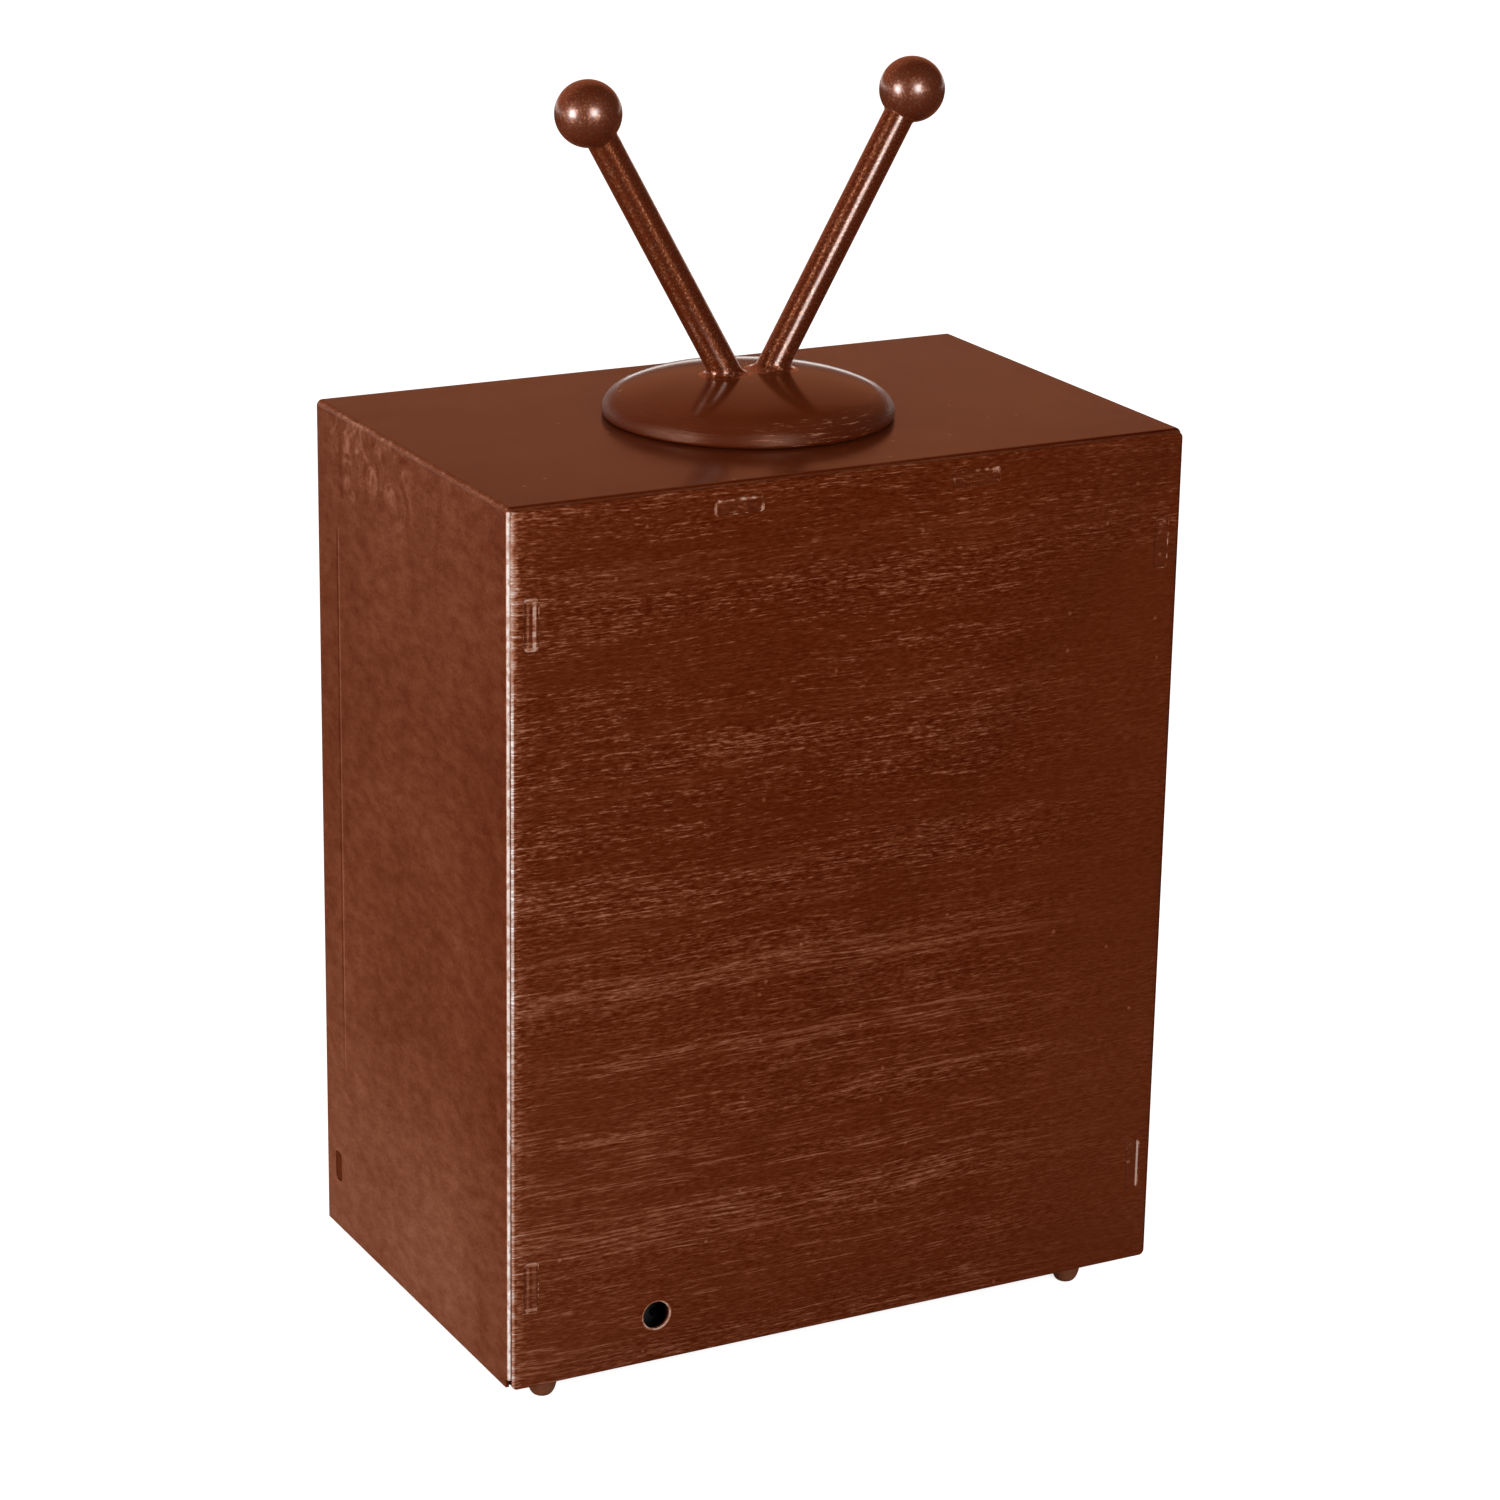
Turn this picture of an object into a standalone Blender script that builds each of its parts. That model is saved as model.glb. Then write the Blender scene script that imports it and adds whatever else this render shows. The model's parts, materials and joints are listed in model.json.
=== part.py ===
"""Television lamp: a folded steel cabinet with a lit screen, two knobs and a twin-rod aerial.

Frame: the screen looks along -Y, +X is on the right of someone facing the screen, +Z is up.
The origin is on the table, under the middle of the cabinet.
"""

import math

import bmesh
import bpy
from mathutils import Matrix, Vector

MM = 0.001

# Facets of turned pieces, holes, corners and folds
DOME_FACETS = 36
ROUND_FACETS = 20
SMALL_FACETS = 12
KNOB_FACETS = 24
CORNER_STEPS = 5
FOLD_STEPS = 3
BULB_STEPS = 8
DOME_STEPS = 8
LEAD_STEPS = 4
SMOOTH_ANGLE = math.radians(35)
WELD = 1e-7

# Fits
SEAT = 0.3 * MM
SHEET = 1.2 * MM

# Cabinet, outside sizes
CABINET_WIDTH = 247 * MM
CABINET_DEPTH = 155 * MM
CABINET_HEIGHT = 300 * MM
FOLD_RADIUS = 2.0 * MM
REAR_FLANGE = 15 * MM
RELIEF_HEIGHT = 3.0 * MM

# Back panel
PANEL_INSET = 0.8 * MM
PANEL_CORNER = 2.0 * MM
INLET_DIAMETER = 9.6 * MM
INLET_FROM_SIDE = 53.6 * MM
INLET_HEIGHT = 16.5 * MM

# Lugs of the flanges, welded into slots of the sheet outside them
LUG_LENGTH = 17 * MM
LUG_WIDTH = 4.4 * MM
LUG_CORNER = 1.0 * MM
LUG_INSET = 7.6 * MM
LUG_BELOW_FACE = 0.15 * MM
LUG_LOW = 36 * MM
LUG_FROM_TOP = 38 * MM
LUG_TOP_SPREAD = 43.5 * MM
FRONT_LUG_LENGTH = 10 * MM
FRONT_LUG_INSET = 10.2 * MM
FRONT_LUG_HEIGHT = 23.3 * MM

# Front panel, a tray with its flange turned forward
RECESS = 17.5 * MM
RIM_SETBACK = 2.0 * MM
TRAY_CORNER = 3.0 * MM

# Screen
SCREEN_WIDTH = 186 * MM
SCREEN_HEIGHT = 146 * MM
SCREEN_CORNER = 30 * MM
SCREEN_FROM_TOP = 104 * MM
SCREEN_BULGE = 8 * MM
SCREEN_THICKNESS = 2.5 * MM
SCREEN_LIP = 3.0 * MM
SCREEN_GAP = 0.6 * MM
BEZEL_WIDTH = 11 * MM
BEZEL_HEIGHT = 5 * MM
BEZEL_ROUND = 1.8 * MM
BEZEL_INSET = 0.5 * MM
STUD_DIAMETER = 3.0 * MM
STUD_OFFSET = 6.4 * MM
STUD_SPREAD = 42 * MM
STUD_END = 1.5 * MM
SCREEN_RINGS = (0.0001, 0.3, 0.55, 0.78, 0.93)
RETAINER_OVERLAP = 3.5 * MM
RETAINER_NUT_FLATS = 5.5 * MM
RETAINER_NUT_HEIGHT = 2.4 * MM

# Speaker slots, which let the warm air out
SLOT_COUNT = 5
SLOT_LENGTH = 64 * MM
SLOT_WIDTH = 3.2 * MM
SLOT_PITCH = 8.5 * MM

# Controls
CONTROL_HEIGHT = 62 * MM
CONTROL_SPREAD = 76 * MM
KNOB_DIAMETER = 31 * MM
KNOB_ROUND = 1.6 * MM
KNOB_TO_PANEL = 0.8 * MM
KNOB_TO_RIM = 2.2 * MM
KNOB_FACE = 1.8 * MM
KNOB_NUT_CLEARANCE = 0.5 * MM
POINTER_WIDTH = 1.6 * MM
POINTER_DEPTH = 0.8 * MM
POINTER_LENGTH = 9.3 * MM
POINTER_OFFSET = 9.6 * MM
SPINDLE_DIAMETER = 6.0 * MM
BUSH_DIAMETER = 9.4 * MM
BUSH_LENGTH = 5.6 * MM
BUSH_NUT_FLATS = 14 * MM
BUSH_NUT_HEIGHT = 2.2 * MM
DIMMER_DIAMETER = 25 * MM
DIMMER_LENGTH = 12 * MM
SWITCH_SIDE = 26 * MM
SWITCH_LENGTH = 15 * MM
SPINDLE_BLIND = 4.0 * MM

# Base
FOOT_HEIGHT = 7.7 * MM
FOOT_TOP_RADIUS = 5.2 * MM
FOOT_FLAT_RADIUS = 2.2 * MM
BASE_RECESS = 0.5 * MM
REAR_FOOT_INSET = 8.6 * MM
FRONT_FOOT_INSET = 26.5 * MM
NEAR_FOOT_SIDE = 15.5 * MM
FAR_FOOT_SIDE = 28 * MM
FRONT_FOOT_SIDE = 21 * MM
ANGLE_LEG = 14 * MM
ANGLE_LENGTH = 96 * MM
ANGLE_FRONT_GAP = 10.8 * MM
ANGLE_SHEET = 1.5 * MM
BASE_SCREW_SPREAD = 36 * MM
SCREW_DIAMETER = 3.0 * MM
SCREW_HEAD_DIAMETER = 6.4 * MM
SCREW_HEAD_HEIGHT = 2.0 * MM
SCREW_END = 2.0 * MM
HEAD_EDGE = 0.45
HEAD_CROWN_RADIUS = 0.75
HEAD_CROWN_HEIGHT = 0.9
VENT_COUNT = 5
VENT_LENGTH = 40 * MM
VENT_WIDTH = 4 * MM
VENT_PITCH = 10 * MM
VENT_CENTRE_X = 58 * MM
VENT_CENTRE_Y = -14 * MM

# Aerial
DOME_RADIUS = 49.1 * MM
DOME_CROWN = 13.4 * MM
DOME_POWER = 2.25
DOME_LIP = 1.4 * MM
DOME_WALL = 1.5 * MM
ROD_DIAMETER = 10.5 * MM
ROD_LEAN = math.radians(29.6)
ROD_REACH = 121 * MM
ROD_FILLET = 3.2 * MM
BALL_DIAMETER = 22 * MM
BALL_SOCKET = 9 * MM
AERIAL_STUD_DIAMETER = 8 * MM
AERIAL_STUD_HEAD = 16 * MM
AERIAL_STUD_HEAD_HEIGHT = 2 * MM
AERIAL_STUD_END = 3 * MM
AERIAL_WASHER_DIAMETER = 22 * MM
AERIAL_WASHER_HEIGHT = 1.6 * MM
AERIAL_NUT_FLATS = 13 * MM
AERIAL_NUT_HEIGHT = 6.5 * MM

# Lamp
LAMP_Y = 10 * MM
BRACKET_WIDTH = 40 * MM
BRACKET_SHEET = 1.5 * MM
BRACKET_FOOT = 26 * MM
BRACKET_RISE = 62 * MM
BRACKET_BACK = 27 * MM
BRACKET_FRONT = 20 * MM
RIVET_SPREAD = 12 * MM
RIVET_DIAMETER = 4.0 * MM
RIVET_HEAD_DIAMETER = 7.5 * MM
RIVET_HEAD_HEIGHT = 1.4 * MM
RIVET_UPSET_DIAMETER = 6.0 * MM
HOLDER_NIPPLE_DIAMETER = 10 * MM
HOLDER_NIPPLE_LENGTH = 9 * MM
HOLDER_FLANGE_DIAMETER = 43 * MM
HOLDER_FLANGE_HEIGHT = 8 * MM
HOLDER_DIAMETER = 38 * MM
HOLDER_HEIGHT = 38 * MM
HOLDER_WALL = 5.2 * MM
HOLDER_FLOOR = 7 * MM
HOLDER_NUT_FLATS = 15 * MM
HOLDER_NUT_HEIGHT = 3 * MM
CAP_HEIGHT = 27 * MM
CAP_WALL = 0.8 * MM
CAP_FLOOR = 7 * MM
CAP_CONE = 4.2 * MM
CAP_TIP_DIAMETER = 9.4 * MM
CAP_TIP_HEIGHT = 1.4 * MM
BULB_DIAMETER = 60 * MM
BULB_NECK_DIAMETER = 24 * MM
BULB_HEIGHT = 86 * MM
BULB_WALL = 1.0 * MM
BULB_IN_CAP = 10 * MM
BULB_SHOULDER = -38

# Wiring
BLOCK_LENGTH = 24 * MM
BLOCK_DEPTH = 18 * MM
BLOCK_HEIGHT = 15 * MM
BLOCK_POLE_SPREAD = 7 * MM
BLOCK_BORE = 3.4 * MM
BLOCK_SCREW_DEPTH = 4.0 * MM
BLOCK_FROM_BACK = 25.5 * MM
LEAD_DIAMETER = 2.4 * MM
LEAD_RUN = 6 * MM
LEAD_LOOP = 22 * MM
TAG_SPREAD = 6 * MM

# Places worked out from the sizes above
HALF_WIDTH = CABINET_WIDTH / 2
FRONT = -CABINET_DEPTH / 2
BACK = CABINET_DEPTH / 2
BASE_UNDERSIDE = FOOT_HEIGHT + SEAT
BOTTOM = BASE_UNDERSIDE - BASE_RECESS
TOP = BOTTOM + CABINET_HEIGHT
BASE_TOP = BASE_UNDERSIDE + SHEET
FLANGE_FACE = BACK - SHEET - SEAT
PANEL_FRONT = FRONT + RECESS
PANEL_BACK = PANEL_FRONT + SHEET
ANGLE_MIDDLE = PANEL_BACK + ANGLE_FRONT_GAP + ANGLE_LENGTH / 2
SCREEN_Z = TOP - SCREEN_FROM_TOP
CONTROL_Z = BOTTOM + CONTROL_HEIGHT
DOME_RIM = TOP + SEAT + DOME_LIP
BRACKET_TOP = BASE_TOP + SEAT + BRACKET_RISE
HOLDER_BASE = BRACKET_TOP + SEAT
ROD_RADIUS = ROD_DIAMETER / 2

# Finishes: colour, roughness, metallic
FINISHES = {
    "brown_paint": ((0.075, 0.012, 0.003), 0.42, 0.0),
    "brown_gloss": ((0.060, 0.010, 0.003), 0.28, 0.0),
    "dark_knob": ((0.035, 0.008, 0.003), 0.35, 0.0),
    "opal": ((0.86, 0.80, 0.68), 0.45, 0.0),
    "opal_glass": ((0.92, 0.92, 0.90), 0.20, 0.0),
    "zinc": ((0.55, 0.56, 0.57), 0.38, 1.0),
    "brass": ((0.70, 0.50, 0.22), 0.30, 1.0),
    "black_plastic": ((0.02, 0.02, 0.02), 0.45, 0.0),
    "porcelain": ((0.85, 0.84, 0.80), 0.25, 0.0),
    "brown_rubber": ((0.11, 0.035, 0.012), 0.75, 0.0),
    "black_lead": ((0.015, 0.015, 0.016), 0.55, 0.0),
    "white_lead": ((0.75, 0.75, 0.73), 0.55, 0.0),
}


def clear_scene():
    for thing in list(bpy.data.objects):
        bpy.data.objects.remove(thing, do_unlink=True)


def finish(name):
    """The named paint, metal or plastic, made once."""
    material = bpy.data.materials.get(name)
    if material:
        return material
    colour, roughness, metallic = FINISHES[name]
    material = bpy.data.materials.new(name)
    material.use_nodes = True
    shader = material.node_tree.nodes["Principled BSDF"]
    shader.inputs["Base Color"].default_value = (*colour, 1.0)
    shader.inputs["Roughness"].default_value = roughness
    shader.inputs["Metallic"].default_value = metallic
    return material


def add_object(name, mesh_builder, material, location=(0, 0, 0), rotation=None, parent=None):
    """Turns a finished bmesh into a named object, smooth where its faces meet at a shallow angle."""
    bmesh.ops.remove_doubles(mesh_builder, verts=mesh_builder.verts, dist=WELD)
    bmesh.ops.dissolve_degenerate(mesh_builder, edges=mesh_builder.edges, dist=WELD)
    bmesh.ops.recalc_face_normals(mesh_builder, faces=mesh_builder.faces)
    mesh = bpy.data.meshes.new(name)
    mesh_builder.to_mesh(mesh)
    mesh_builder.free()
    mesh.shade_smooth()
    mesh.set_sharp_from_angle(angle=SMOOTH_ANGLE)
    thing = bpy.data.objects.new(name, mesh)
    if material:
        mesh.materials.append(finish(material))
    thing.location = location
    if rotation:
        thing.rotation_euler = rotation
    thing.parent = parent
    bpy.context.scene.collection.objects.link(thing)
    return thing


def combine(thing, pieces, operation):
    """Joins to the object, or cuts from it, a helper made of separate closed pieces."""
    helper = add_object(f"{thing.name}_{operation.lower()}_helper", pieces, None)
    helper.hide_render = True
    helper.display_type = "WIRE"
    modifier = thing.modifiers.new(operation.title(), "BOOLEAN")
    modifier.operation = operation
    modifier.solver = "EXACT"
    modifier.object = helper


def ring(mesh_builder, points):
    return [mesh_builder.verts.new(point) for point in points]


def skin(mesh_builder, loops, closed=False):
    """Faces between loops of equal count. The ends are capped, or joined when closed."""
    pairs = list(zip(loops, loops[1:]))
    if closed:
        pairs.append((loops[-1], loops[0]))
    for first, second in pairs:
        for i in range(len(first)):
            j = (i + 1) % len(first)
            mesh_builder.faces.new((first[i], first[j], second[j], second[i]))
    if not closed:
        mesh_builder.faces.new(loops[0])
        mesh_builder.faces.new(loops[-1])


def arc(centre, radius, start, end, steps):
    """Points on an arc in a plane, angles in degrees."""
    found = []
    for i in range(steps + 1):
        angle = math.radians(start + (end - start) * i / steps)
        found.append((centre[0] + radius * math.cos(angle), centre[1] + radius * math.sin(angle)))
    return found


def rounded_rectangle(width, height, radius, steps=FOLD_STEPS):
    """A rectangle about the origin with round corners, counter-clockwise from its right side."""
    radius = max(min(radius, width / 2, height / 2), 0)
    across = width / 2 - radius
    up = height / 2 - radius
    corners = ((across, up, 0), (-across, up, 90), (-across, -up, 180), (across, -up, 270))
    points = []
    for x, z, start in corners:
        points += arc((x, z), radius, start, start + 90, steps)
    return points


def circle(radius, steps):
    return [
        (radius * math.cos(2 * math.pi * i / steps), radius * math.sin(2 * math.pi * i / steps))
        for i in range(steps)
    ]


def add_prism(mesh_builder, outline, place, start, end, direction="Y"):
    """An outline carried along an axis, from start to end, about a place in the other two."""

    def at(point, along):
        u, v = point[0] + place[0], point[1] + place[1]
        if direction == "Y":
            return (u, along, v)
        return (u, v, along) if direction == "Z" else (along, u, v)

    loops = [ring(mesh_builder, [at(point, along) for point in outline]) for along in (start, end)]
    skin(mesh_builder, loops)


def turned(profile, steps=ROUND_FACETS):
    """A solid of revolution about Z, from (radius, height) points. Points on the axis close it."""
    built = bmesh.new()
    loops = []
    for radius, height in profile:
        loops.append(ring(built, [(x, y, height) for x, y in circle(max(radius, 0), steps)]))
    skin(built, loops)
    return built


def turned_ring(profile, steps=ROUND_FACETS):
    """As turned, for a profile that goes round a hole and returns to its start."""
    built = bmesh.new()
    loops = [ring(built, [(x, y, height) for x, y in circle(radius, steps)]) for radius, height in profile]
    skin(built, loops, closed=True)
    return built


def hex_nut(flats, hole, height, steps=SMALL_FACETS):
    """A hexagon nut about Z, standing on the origin."""
    built = bmesh.new()
    outline = []
    for i in range(steps):
        angle = 2 * math.pi * i / steps
        within = (angle % (math.pi / 3)) - math.pi / 6
        reach = flats / 2 / math.cos(within)
        outline.append((reach * math.cos(angle), reach * math.sin(angle)))
    inner = circle(hole / 2, steps)
    loops = [
        ring(built, [(x, y, 0) for x, y in outline]),
        ring(built, [(x, y, height) for x, y in outline]),
        ring(built, [(x, y, height) for x, y in inner]),
        ring(built, [(x, y, 0) for x, y in inner]),
    ]
    skin(built, loops, closed=True)
    return built


def headed_pin(head_diameter, head_height, diameter, length, steps=SMALL_FACETS):
    """A round-headed pin about Z: head below the origin, shank above it."""
    head = head_diameter / 2
    return turned(
        [
            (0, length),
            (diameter / 2, length),
            (diameter / 2, 0),
            (head, 0),
            (head, -head_height * HEAD_EDGE),
            (head * HEAD_CROWN_RADIUS, -head_height * HEAD_CROWN_HEIGHT),
            (0, -head_height),
        ],
        steps,
    )


def wrapper_path(inset):
    """The wrapper's course up one side, over the top and down the other, as (x, z)."""
    side = HALF_WIDTH - inset
    radius = max(FOLD_RADIUS - inset, 0)
    centre_x = min(HALF_WIDTH - FOLD_RADIUS, side)
    centre_z = min(TOP - FOLD_RADIUS, TOP - inset)
    right = arc((centre_x, centre_z), radius, 0, 90, FOLD_STEPS)
    left = [(-x, z) for x, z in reversed(right)]
    return [(side, BOTTOM), *right, *left, (-side, BOTTOM)]


def lug_places():
    """Centres of the rear lugs, each with its size across and up."""
    side = HALF_WIDTH - LUG_INSET
    upright = (LUG_WIDTH, LUG_LENGTH)
    lying = (LUG_LENGTH, LUG_WIDTH)
    for sign in (1, -1):
        yield (sign * side, BOTTOM + LUG_LOW), upright
        yield (sign * side, TOP - LUG_FROM_TOP), upright
        yield (sign * LUG_TOP_SPREAD, TOP - LUG_INSET), lying


def make_wrapper():
    """Sides and top folded from one sheet, with a flange turned in at the back."""
    built = bmesh.new()
    inner = FOLD_RADIUS - SHEET
    turn = FLANGE_FACE - FOLD_RADIUS
    profile = [(0, FRONT), (0, turn)]
    profile += [(FOLD_RADIUS - a, turn + b) for a, b in arc((0, 0), FOLD_RADIUS, 0, 90, FOLD_STEPS)][1:]
    profile += [(REAR_FLANGE, FLANGE_FACE), (REAR_FLANGE, FLANGE_FACE - SHEET)]
    profile += [(FOLD_RADIUS - a, turn + b) for a, b in arc((0, 0), inner, 90, 0, FOLD_STEPS)]
    profile += [(SHEET, FRONT)]
    courses = [[(x, y, z) for x, z in wrapper_path(inset)] for inset, y in profile]
    loops = [ring(built, section) for section in zip(*courses)]
    skin(built, loops)
    wrapper = add_object("cabinet_wrapper", built, "brown_paint")

    lugs = bmesh.new()
    for place, (width, height) in lug_places():
        outline = rounded_rectangle(width, height, LUG_CORNER)
        add_prism(lugs, outline, place, FLANGE_FACE - SHEET / 2, BACK - LUG_BELOW_FACE)
    combine(wrapper, lugs, "UNION")

    cuts = bmesh.new()
    hole = circle(AERIAL_STUD_DIAMETER / 2 + SEAT, ROUND_FACETS)
    add_prism(cuts, hole, (0, 0), TOP - 2 * SHEET, TOP + SHEET, "Z")
    slot = rounded_rectangle(LUG_WIDTH + 2 * SEAT, FRONT_LUG_LENGTH + 2 * SEAT, LUG_CORNER + SEAT)
    place = (FRONT + FRONT_LUG_INSET, BOTTOM + FRONT_LUG_HEIGHT)
    relief = rounded_rectangle(2 * FOLD_RADIUS, 2 * FOLD_RADIUS, 0)
    for sign in (1, -1):
        side = sign * HALF_WIDTH
        add_prism(cuts, slot, place, side - SHEET * 2, side + SHEET * 2, "X")
        add_prism(cuts, relief, (side, FLANGE_FACE), BOTTOM - SHEET, BOTTOM + RELIEF_HEIGHT, "Z")
    combine(wrapper, cuts, "DIFFERENCE")


def make_back_panel():
    """A flat sheet laid over the wrapper's flange, with the lug slots and the inlet hole."""
    built = bmesh.new()
    width = CABINET_WIDTH - 2 * PANEL_INSET
    height = CABINET_HEIGHT - PANEL_INSET
    outline = rounded_rectangle(width, height, PANEL_CORNER)
    add_prism(built, outline, (0, BOTTOM + height / 2), BACK - SHEET, BACK)
    panel = add_object("back_panel", built, "brown_paint")

    cuts = bmesh.new()
    for place, (across, up) in lug_places():
        slot = rounded_rectangle(across + 2 * SEAT, up + 2 * SEAT, LUG_CORNER + SEAT)
        add_prism(cuts, slot, place, BACK - 2 * SHEET, BACK + SHEET)
    inlet = (HALF_WIDTH - INLET_FROM_SIDE, BOTTOM + INLET_HEIGHT)
    add_prism(cuts, circle(INLET_DIAMETER / 2, ROUND_FACETS), inlet, BACK - 2 * SHEET, BACK + SHEET)
    combine(panel, cuts, "DIFFERENCE")


def bezel_studs():
    """Places of the bezel's studs, beside the screen."""
    reach = SCREEN_WIDTH / 2 + STUD_OFFSET
    for across in (reach, -reach):
        for up in (STUD_SPREAD, -STUD_SPREAD):
            yield across, SCREEN_Z + up


def make_front_panel():
    """The recessed front: a tray whose flange is turned forward along the wrapper."""
    built = bmesh.new()
    width = CABINET_WIDTH - 2 * (SHEET + SEAT)
    height = CABINET_HEIGHT - SHEET - SEAT
    centre = BOTTOM + height / 2
    inner = FOLD_RADIUS - SHEET
    profile = [(SHEET, FRONT + RIM_SETBACK), (0, FRONT + RIM_SETBACK)]
    turn = PANEL_BACK - FOLD_RADIUS
    outer_fold = [(FOLD_RADIUS - a, turn + b) for a, b in arc((0, 0), FOLD_RADIUS, 0, 90, FOLD_STEPS)]
    inner_fold = [(FOLD_RADIUS - a, turn + b) for a, b in arc((0, 0), inner, 0, 90, FOLD_STEPS)]
    loops = []
    for inset, y in [*reversed(inner_fold), *profile, *outer_fold]:
        outline = rounded_rectangle(width - 2 * inset, height - 2 * inset, TRAY_CORNER - inset)
        loops.append(ring(built, [(x, y, z + centre) for x, z in outline]))
    skin(built, loops)
    panel = add_object("front_panel", built, "brown_paint")

    lugs = bmesh.new()
    lug = rounded_rectangle(LUG_WIDTH, FRONT_LUG_LENGTH, LUG_CORNER)
    place = (FRONT + FRONT_LUG_INSET, BOTTOM + FRONT_LUG_HEIGHT)
    for sign in (1, -1):
        start = sign * (width / 2 - SHEET / 2)
        end = sign * (HALF_WIDTH - LUG_BELOW_FACE)
        add_prism(lugs, lug, place, start, end, "X")
    combine(panel, lugs, "UNION")

    cuts = bmesh.new()
    near, far = PANEL_FRONT - SHEET, PANEL_BACK + SHEET
    add_prism(cuts, screen_outline(0), (0, SCREEN_Z), near, far)
    for place in bezel_studs():
        add_prism(cuts, circle(STUD_DIAMETER / 2 + SEAT, SMALL_FACETS), place, near, far)
    for sign in (1, -1):
        hole = circle(BUSH_DIAMETER / 2 + SEAT, ROUND_FACETS)
        add_prism(cuts, hole, (sign * CONTROL_SPREAD, CONTROL_Z), near, far)
    slot = rounded_rectangle(SLOT_LENGTH, SLOT_WIDTH, SLOT_WIDTH / 2)
    for i in range(SLOT_COUNT):
        up = (i - (SLOT_COUNT - 1) / 2) * SLOT_PITCH
        add_prism(cuts, slot, (0, CONTROL_Z + up), near, far)
    combine(panel, cuts, "DIFFERENCE")


def screen_outline(grow):
    """The screen's outline, grown outwards or drawn in."""
    size = (SCREEN_WIDTH + 2 * grow, SCREEN_HEIGHT + 2 * grow)
    return rounded_rectangle(*size, SCREEN_CORNER + grow, CORNER_STEPS)


def make_bezel():
    """The raised surround of the screen, with studs that reach through the panel."""
    built = bmesh.new()
    seat = PANEL_FRONT - SEAT
    crest = seat - BEZEL_HEIGHT
    inner, outer = BEZEL_INSET, BEZEL_WIDTH
    bend = arc((0, 0), BEZEL_ROUND, 0, 90, FOLD_STEPS)
    profile = [(outer, seat)]
    profile += [(outer - BEZEL_ROUND + a, crest + BEZEL_ROUND - b) for a, b in bend]
    profile += [(inner + BEZEL_ROUND - a, crest + BEZEL_ROUND - b) for a, b in reversed(bend)]
    profile += [(inner, seat)]
    loops = [ring(built, [(x, y, z + SCREEN_Z) for x, z in screen_outline(grow)]) for grow, y in profile]
    skin(built, loops, closed=True)
    bezel = add_object("screen_bezel", built, "brown_gloss")

    studs = bmesh.new()
    for place in bezel_studs():
        add_prism(studs, circle(STUD_DIAMETER / 2, SMALL_FACETS), place, seat - SHEET, stud_end())
    combine(bezel, studs, "UNION")


def retainer_face():
    return PANEL_BACK + SEAT + SCREEN_THICKNESS + SEAT


def stud_end():
    return retainer_face() + SHEET + SEAT + RETAINER_NUT_HEIGHT + STUD_END


def make_screen():
    """The opal pane: a bowed face that stands through the opening, with a lip behind the panel."""
    built = bmesh.new()
    lip_front = PANEL_BACK + SEAT
    lip_back = lip_front + SCREEN_THICKNESS
    edge = -SCREEN_GAP
    spring = PANEL_FRONT + SCREEN_GAP

    def bowed(outline, share, base):
        rise = SCREEN_BULGE * (1 - share * share)
        return [(x * share, base - rise, z * share + SCREEN_Z) for x, z in outline]

    def level(outline, y):
        return [(x, y, z + SCREEN_Z) for x, z in outline]

    front = screen_outline(edge)
    rear = screen_outline(edge - SCREEN_THICKNESS)
    lip = screen_outline(SCREEN_LIP)
    loops = [bowed(front, share, spring) for share in SCREEN_RINGS]
    loops += [level(front, spring), level(front, lip_front), level(lip, lip_front), level(lip, lip_back)]
    loops += [level(rear, lip_back)]
    loops += [bowed(rear, share, spring + SCREEN_THICKNESS) for share in reversed(SCREEN_RINGS)]
    skin(built, [ring(built, loop) for loop in loops])
    add_object("screen_pane", built, "opal")


def make_retainer():
    """A flat frame that clamps the pane's lip to the panel, held by a nut on each stud."""
    built = bmesh.new()
    start = retainer_face()
    end = start + SHEET
    outer, inner = screen_outline(BEZEL_WIDTH), screen_outline(-RETAINER_OVERLAP)
    loops = []
    for outline, y in ((outer, start), (outer, end), (inner, end), (inner, start)):
        loops.append(ring(built, [(x, y, z + SCREEN_Z) for x, z in outline]))
    skin(built, loops, closed=True)
    retainer = add_object("screen_retainer", built, "zinc")

    cuts = bmesh.new()
    for place in bezel_studs():
        add_prism(cuts, circle(STUD_DIAMETER / 2 + SEAT, SMALL_FACETS), place, start - SHEET, end + SHEET)
    combine(retainer, cuts, "DIFFERENCE")
    for i, (x, z) in enumerate(bezel_studs(), 1):
        nut = hex_nut(RETAINER_NUT_FLATS, STUD_DIAMETER + 2 * SEAT, RETAINER_NUT_HEIGHT)
        add_object(f"retainer_nut_{i}", nut, "zinc", (x, end + SEAT, z), (-math.pi / 2, 0, 0))


def base_screws():
    """Places of the base screws, in the middle of each angle's lower leg."""
    across = HALF_WIDTH - SHEET - SEAT - ANGLE_LEG / 2
    for x in (across, -across):
        for y in (BASE_SCREW_SPREAD, -BASE_SCREW_SPREAD):
            yield x, ANGLE_MIDDLE + y


def bracket_rivets():
    """Places of the rivets through the lamp bracket's foot."""
    y = LAMP_Y + BRACKET_BACK + BRACKET_SHEET - BRACKET_FOOT / 2
    return (RIVET_SPREAD, y), (-RIVET_SPREAD, y)


def block_centre():
    """The terminal block stands just inside the inlet."""
    return HALF_WIDTH - INLET_FROM_SIDE, BACK - BLOCK_FROM_BACK


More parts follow.
